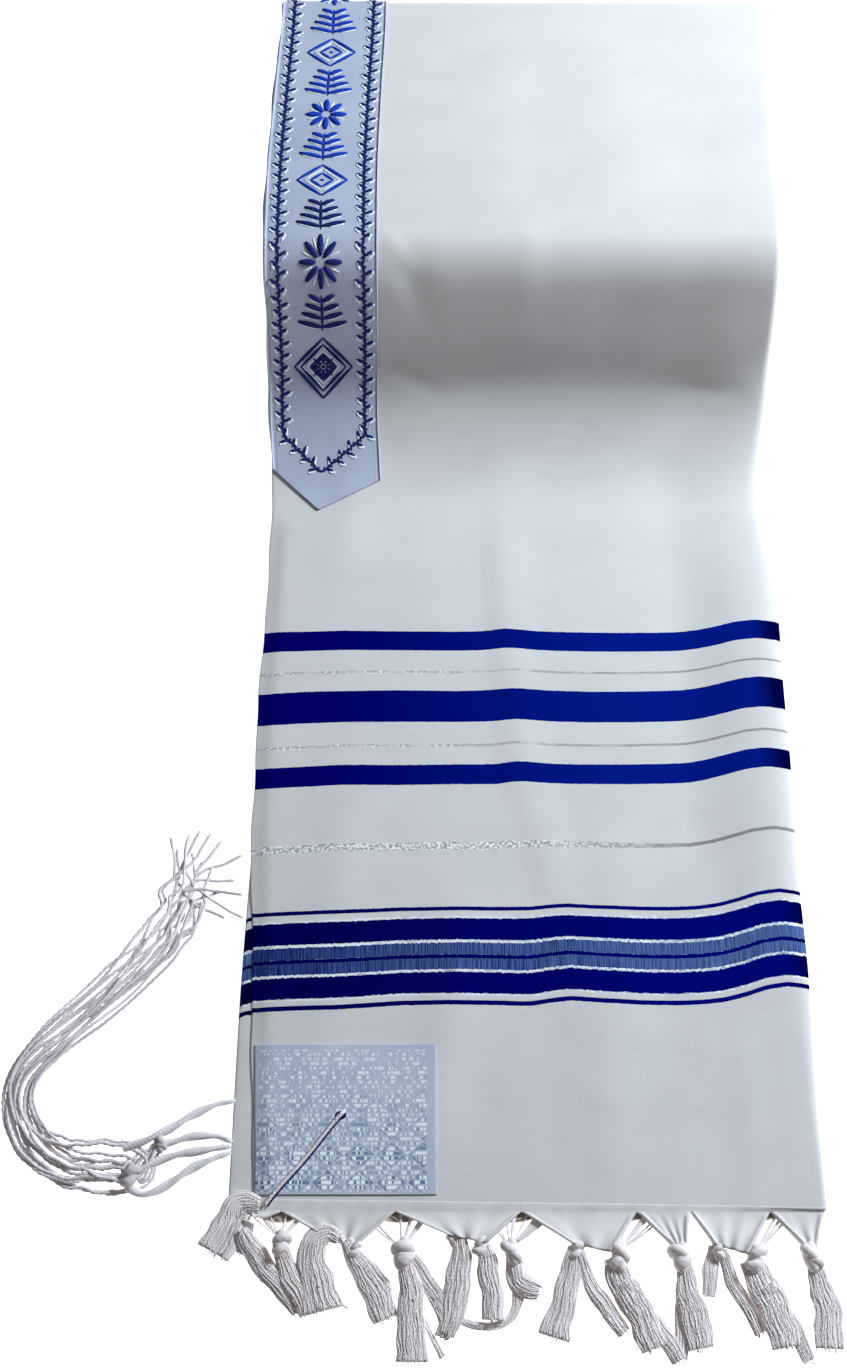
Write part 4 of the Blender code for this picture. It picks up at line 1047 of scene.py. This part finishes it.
def leg_threads(rng, soup, hem, leg):
    """A flat hank along a route: a soft lens of yarn, with single threads over it and past its end."""
    steps, crowd = (THREAD_ROWS, THREADS_PER_MM) if hem.facing < 0 else (FAR_THREAD_ROWS, FAR_THREADS_PER_MM)
    route = smooth_route(leg.route, steps - 1)
    line, width = route[:, :2], route[:, 2]
    along, side = heading(line)
    run = lengths(line)
    t = run / run[-1]
    fall = ease(t / 0.30)
    half = np.clip(0.15 * width, 0.45, 1.6)
    middle = KNOT_Z * (1 - fall) + (leg.lift * (1 - 0.6 * t) + half + 0.25) * fall
    phase = rng.uniform(0, 6.3, 4)
    lumps = 3 + int(np.mean(width) / 3)
    twist = phase[2] + 0.10 * run + 0.4 * np.sin(0.16 * run + phase[3])
    sway = 0.035 * np.sin(0.22 * run + phase[0]) + 0.03 * np.sin(0.41 * run + phase[1])

    def surface(c, sign=1):
        """Height of the lens at c, from -1 to 1 across it; its threads twist a little along it."""
        swell = 0.93 + 0.07 * np.sin(lumps * math.pi * c + twist)
        return middle + sign * half * np.sqrt(np.maximum(1 - c**2, 0)) * swell

    def spot(c, z, extra=0.0):
        off = (c * (1 + 0.8 * sway * np.sign(c)) + sway) * width / 2
        flat = line + off[..., None] * side + extra * along * (t**3)[:, None]
        return stack(flat[..., 0], hem.y / MM + hem.facing * flat[..., 1], np.maximum(z, 0.15)) * MM

    c = np.sin(np.linspace(-math.pi / 2, math.pi / 2, 25))[:, None]
    back = c[-2:0:-1]
    ring = np.concatenate([spot(c, surface(c)), spot(back, surface(back, -1))])
    across = np.concatenate([c, back]) * np.mean(width) * MM / 2 + 0.01 * phase[0]
    uvs = stack(across, run * MM)
    soup.grids(ring.swapaxes(0, 1), uvs.swapaxes(0, 1), rng.uniform(0.80, 0.95), wrap=True, caps=True)

    number = max(int(np.mean(width) * crowd), 3)
    points = []
    for lane in np.sort(rng.uniform(-0.98, 0.98, number)):
        a, b = rng.uniform(0, 6.3, 2)
        c = lane + 0.10 * np.sin(0.20 * run + a) * np.sin(math.pi * t) + 0.05 * np.sin(0.6 * run + b)
        c = np.clip(c, -1.02, 1.02)
        z = surface(np.clip(c, -1, 1)) + rng.uniform(-0.20, 0.0) + 0.05 * np.sin(0.9 * run + b)
        reach = rng.normal(0.4, 0.8) - 0.8 * abs(lane)
        points.append(spot(c, np.maximum(z, THREAD_RADIUS / MM + 0.08), reach))
    tone = rng.uniform(0.65, 1.0, number)
    tone[rng.uniform(0, 1, number) < 0.10] = 0.2
    tubes(soup, points, THREAD_RADIUS, tone)


def fringe(row, seed, hem, web_rows, fan_rows, knots, legs):
    rng = np.random.default_rng(seed)
    soup = Soup()
    webs(soup, hem, web_rows)
    # The lower strip's brown colour is painted shade.
    soup.use(2)  # the strip below shows between the upper webs, in their shade
    under = [Web(fan.low, fan.high, fan.x - 4, fan.x + 4, 12, 12, 1.6) for fan in fan_rows]
    webs(soup, hem._replace(top=lambda x: 0.0012, reach=lambda x: 0.004), under, level=1.2)
    soup.use(1)
    fans(rng, soup, hem, fan_rows)
    for knot in knots:
        size = knot.size * MM
        centre = np.array([knot.x * MM, hem.y + hem.facing * knot.out * MM, max(0.48 * size, 0.0036)])
        ball_knot(soup, centre, size, rng.uniform(0, 6.2), rng.uniform(0.60, 0.80))
    for leg in legs:
        leg_threads(rng, soup, hem, leg)
    return piece("fringe_threads_" + row, soup, [WEB, YARN, PAINTED_SHADE_STRIP], "yarn", "fringe_" + row)


def far_rows(offset):
    """Five plainer tassels, evenly along the far hem: webs, fans, knots and legs."""
    left, count = -76.0, 5
    pitch = (210.0 - left) / (count + 0.5)
    web_rows, fan_rows, knots, legs = [], [], [], []
    for i in range(count):
        low = left + pitch * (i + offset) + 0.3
        x = low + pitch / 2
        lean = 6 * (-1) ** i
        web_rows.append(Web(low, low + pitch - 0.6, x - 4, x + 4, 19, 19, 5.6))
        fan_rows.append(Fan(low + 3, low + pitch - 3, x, 20, 10))
        knots.append(Knot(x, 24, 10))
        legs.append(Leg(1.0, ((x, 27, 7), (x + 0.3 * lean, 42, 12), (x + lean, 66, 15))))
        legs.append(Leg(0.2, ((x, 28, 5), (x - 0.8 * lean, 45, 7), (x - 1.4 * lean, 60, 7))))
    return web_rows, fan_rows, knots, legs


# ---- tzitzit ------------------------------------------------------------------------------------
# Millimetres; each row of a hank is (x, y, width), of a tie (x, y, z).
HANK = (
    (-147, -376, 19), (-160, -375, 23), (-171, -374, 21), (-181, -373, 20), (-191, -368.5, 18),
    (-200, -361.5, 17), (-206.5, -352, 15), (-209.5, -342, 14), (-209, -332, 14.5), (-204, -322.5, 16),
    (-195, -312.5, 18), (-181, -298.5, 19), (-167, -285, 20), (-154, -271, 21), (-142, -257, 22),
    (-134, -242, 21), (-129, -228, 19),
)
FAR_HANK = (
    (-88, 405, 9), (-88, 420, 9), (-89, 434, 9), (-91, 446, 9), (-98, 456, 9), (-113, 462, 9), (-132, 464, 7),
)
Tzitzit = namedtuple("Tzitzit", "corner knot size ties route lane ends")
TZITZITS = (
    Tzitzit(
        "near_upper", (-134.5, -363.5), 8.5,
        (
            (
                (-97.6, -341.5, 0.9), (-108, -344, 2.4), (-120, -350, 3.2), (-130, -356.5, 4.6),
                (-141, -362, 5), (-153, -366.5, 3.6),
            ),
            (
                (-98, -362.5, 0.9), (-106, -359.8, 2.6), (-117, -359.8, 3), (-127, -362.5, 3.4),
                (-135, -364, 4),
            ),
        ),
        HANK, 0,
        (
            (-124, -193), (-118, -195), (-112, -199), (-104, -222), (-100, -207), (-99, -230),
            (-98, -243), (-108, -243),
        ),
    ),
    Tzitzit(
        "near_under", (-148.5, -380), 10.5,
        (
            (
                (-98.2, -364.5, 0.9), (-107, -366, 2.8), (-117, -367.7, 3.2), (-130.5, -370.7, 3.6),
                (-146, -378, 4.2),
            ),
            (
                (-98.4, -367.5, 0.9), (-106, -370.5, 2.2), (-117, -375.5, 2.6), (-132, -385.5, 3),
                (-141, -388.5, 3.2), (-150, -385, 4),
            ),
        ),
        HANK, 0.5,
        (
            (-140, -197), (-136, -204), (-130, -195), (-133, -212), (-128, -206), (-122, -211),
            (-117, -214), (-112, -228),
        ),
    ),
    Tzitzit(
        "far_upper", (-90.5, 389.5), 8.5,
        (
            ((-90.5, 372.2, 1.6), (-91.5, 379, 2.6), (-91, 388, 3.6)),
            ((-86.5, 372.2, 1.6), (-86, 379, 2.6), (-89.5, 388, 3.6)),
        ),
        FAR_HANK, 0,
        (
            (-158, 462), (-160, 466), (-152, 463), (-156, 460), (-148, 466), (-162, 464), (-150, 459),
            (-155, 468),
        ),
    ),
    Tzitzit(
        "far_under", (-80, 398), 8.5,
        (
            ((-82.5, 372.2, 1.6), (-82, 382, 2.6), (-80.5, 396, 3.6)),
            ((-78.5, 372.2, 1.6), (-78, 382, 2.6), (-79.5, 396, 3.6)),
        ),
        ((-82, 412, 9), (-84, 428, 10), (-89, 444, 10), (-98, 457, 11), (-112, 466, 11), (-128, 470, 9)), 0.5,
        (
            (-146, 470), (-148, 474), (-140, 477), (-143, 467), (-136, 473), (-150, 471), (-138, 469),
            (-142, 479),
        ),
    ),
)
STRAND_RADIUS = 0.00110
TIE_RADIUS = 0.0025


def tzitzit(row, seed):
    rng = np.random.default_rng(seed)
    soup = Soup()
    paths = []
    leave = 0.45 * np.array(row.knot) + 0.55 * np.array(row.route[0][:2])
    for number, end in enumerate(row.ends):
        line = smooth_route([(*row.knot, 3), (*leave, 10), *row.route, (*end, 0.8)], 200) * MM
        run = lengths(line[:, :2])
        t = run / run[-1]
        lane = (number + 0.25 + row.lane) / len(row.ends) - 0.5
        a, b, c = rng.uniform(0, 6.2, 3)
        cross = 0.20 * np.sin(2 * math.pi * 0.9 * t + a) + 0.10 * np.sin(2 * math.pi * 2.6 * t + b)
        off = np.clip(lane + cross, -0.56, 0.56) * line[:, 2]
        off += 0.0006 * np.exp(-((t / 0.22) ** 2)) * np.sin(run / 0.0021 + c)
        tangle = ease((t - 0.76) / 0.10) * (1 - t) / 0.24
        off += tangle * (0.0034 * np.sin(2 * math.pi * 8.2 * t + b) + 0.0018 * np.sin(2 * math.pi * 15 * t + c))
        flat = line[:, :2] - heading(line[:, :2])[1] * off[:, None]
        layer = (number * 3 + int(2 * row.lane)) % 4
        z = STRAND_RADIUS + 0.0002 + 0.0010 * layer * np.interp(t, (0, 0.1, 0.85, 1), (1, 1, 0.8, 0.1))
        z = z + 0.0005 * np.sin(t * 37 + a) * np.interp(t, (0, 0.9, 1), (1, 1, 0))
        z = np.maximum(z, 0.0042 * (1 - np.clip(t / 0.05, 0, 1)))
        paths.append(np.column_stack([flat, np.maximum(z, STRAND_RADIUS + 0.0001)]))
    tones = rng.uniform(0.45, 1.0, len(row.ends))
    tubes(soup, paths, STRAND_RADIUS, tones, sides=9, flat=0.75, lobes=3, depth=0.40, pitch=0.012)
    centre = np.array([*row.knot, 0.45 * row.size]) * MM
    # The knot's darker tone is painted shade in its wraps.
    ball_knot(soup, centre, row.size * MM, rng.uniform(0, 6), 0.35)
    for tie in row.ties:
        path = smooth_route(tie, 60) * MM
        radius = TIE_RADIUS * np.interp(np.linspace(0, 1, 61), (0, 0.12, 0.35, 1), (0.36, 0.72, 1.0, 0.92))
        path[:, 2] = np.maximum(path[:, 2], radius + 0.0001)
        tubes(soup, path, radius, 0.9, sides=16, lobes=2, depth=0.36, pitch=0.036)
    return piece(f"tzitzit_{row.corner}_cords", soup, [CORD], "yarn", "tzitzit_" + row.corner)


def corner_cord(end, hole, hem_x, hem):
    """A thin cord from the corner's hole over the hem, with its dark strand on the side of the hem's middle."""
    lie = STACK + SEAM + PATCH_WALL + 0.0010
    x, y = hole
    span_x, span_y = hem_x - x, hem.y - y
    route = np.array([
        (x + 0.0022, y - hem.facing * 0.0022, lie - 0.0018),
        (x + 0.0006, y - hem.facing * 0.0006, lie + 0.0005),
        (x + 0.15 * span_x, y + 0.15 * span_y + 0.0003, lie),
        (x + 0.50 * span_x + 0.0006, y + 0.50 * span_y, lie),
        (x + 0.85 * span_x, y + 0.85 * span_y, lie),
        (hem_x, hem.y, lie - 0.0002),
        (hem_x - 0.0030, hem.y + hem.facing * 0.0040, STACK + SEAM + 0.0012),
    ])
    soup = Soup()
    tubes(soup, smooth_route(route, 90), 0.0010, 0.8, sides=12, lobes=2, depth=0.30, pitch=0.0060)
    soup.use(1)
    dark = smooth_route(route[1:] + np.array([0.0011, 0.0009 * hem.facing, -0.0004]), 80)
    tubes(soup, dark, 0.00040, 0.1, sides=8)
    t = np.linspace(0, 2 * math.pi, 24)
    tubes(soup, stack(x + 0.0024 * np.cos(t), y + 0.0017 * np.sin(t), lie - 0.0009), 0.0005, 0.2, sides=8)
    piece("hole_cord_" + end, soup, [CORD, NAVY], "yarn", "corner_cord_" + end)


# ---- build --------------------------------------------------------------------------------------
sheet = shawl()
layers = hidden_layers()
band = neckband()
patch_near = corner_patch("kanaf_near", "corner_patch_near", lambda s: fine(UPPER_LEFT, s), on_cloth)
patch_far = corner_patch("kanaf_far", "corner_patch_far", lambda s: -0.0915 + 0 * s, far_top)
near_upper = fringe("near_upper", 11, NEAR, NEAR_WEBS, (), NEAR_UPPER_KNOTS, NEAR_UPPER_LEGS)
near_under = fringe("near_under", 12, NEAR, (), NEAR_FANS, NEAR_UNDER_KNOTS, NEAR_UNDER_LEGS)
web_rows, _, knots, legs = far_rows(0.0)
far_upper = fringe("far_upper", 13, FAR, web_rows, (), knots, legs)
_, fan_rows, knots, legs = far_rows(0.5)
far_under = fringe("far_under", 14, FAR, (), fan_rows, knots, legs)
for seed, row in enumerate(TZITZITS, 21):
    tzitzit(row, seed)
corner_cord("near", (-0.0425, -0.3495), -0.0765, NEAR)
corner_cord("far", (-0.0455, 0.331), -0.0700, FAR)

# ---- floor, light and camera --------------------------------------------------------------------
FLOOR_HALF = 4.0
FLOOR_DROP = 0.0002
floor_mesh = bpy.data.meshes.new("floor")
floor_corners = [(x * FLOOR_HALF, y * FLOOR_HALF, -FLOOR_DROP) for x, y in ((-1, -1), (1, -1), (1, 1), (-1, 1))]
floor_mesh.from_pydata(floor_corners, [], [(0, 1, 2, 3)])
floor = bpy.data.objects.new("floor", floor_mesh)
bpy.context.scene.collection.objects.link(floor)
pale = Shade("pale_floor", Base_Color=(0.90, 0.90, 0.90), Roughness=0.9, Emission_Color=(1.0, 1.0, 1.0))
pale.put(pale.shader, {"Emission Strength": 1.0})
floor.data.materials.append(pale.material)

world = bpy.data.worlds.new("studio")
world.use_nodes = True
world.node_tree.nodes["Background"].inputs["Color"].default_value = (1.0, 0.955, 0.885, 1.0)
world.node_tree.nodes["Background"].inputs["Strength"].default_value = 0.03
bpy.context.scene.world = world


def area_light(name, location, target, size, power, colour=(1.0, 1.0, 1.0)):
    light = bpy.data.lights.new(name, "AREA")
    light.shape = "DISK"
    light.size = size
    light.energy = power
    light.color = colour
    obj = bpy.data.objects.new(name, light)
    obj.location = location
    obj.rotation_euler = (Vector(target) - Vector(location)).to_track_quat("-Z", "Y").to_euler()
    bpy.context.scene.collection.objects.link(obj)


area_light("key", (1.15, 0.55, 0.97), (0.05, 0.0, 0.0), 0.42, 39.5, (0.82, 0.91, 1.0))
area_light("overhead", (0.0, -0.05, 1.6), (0.0, 0.0, 0.0), 2.0, 4.5, (1.0, 0.975, 0.94))

camera_data = bpy.data.cameras.new("camera")
camera_data.sensor_fit = "AUTO"
camera_data.sensor_width = 36.0
camera_data.lens = 43.358
camera = bpy.data.objects.new("camera", camera_data)
camera.location = (0.0, -0.5187, 0.8642)
camera.rotation_euler = (math.radians(25.742), 0.0, 0.0)
bpy.context.scene.collection.objects.link(camera)
bpy.context.scene.camera = camera
bpy.context.scene.view_settings.view_transform = "Standard"
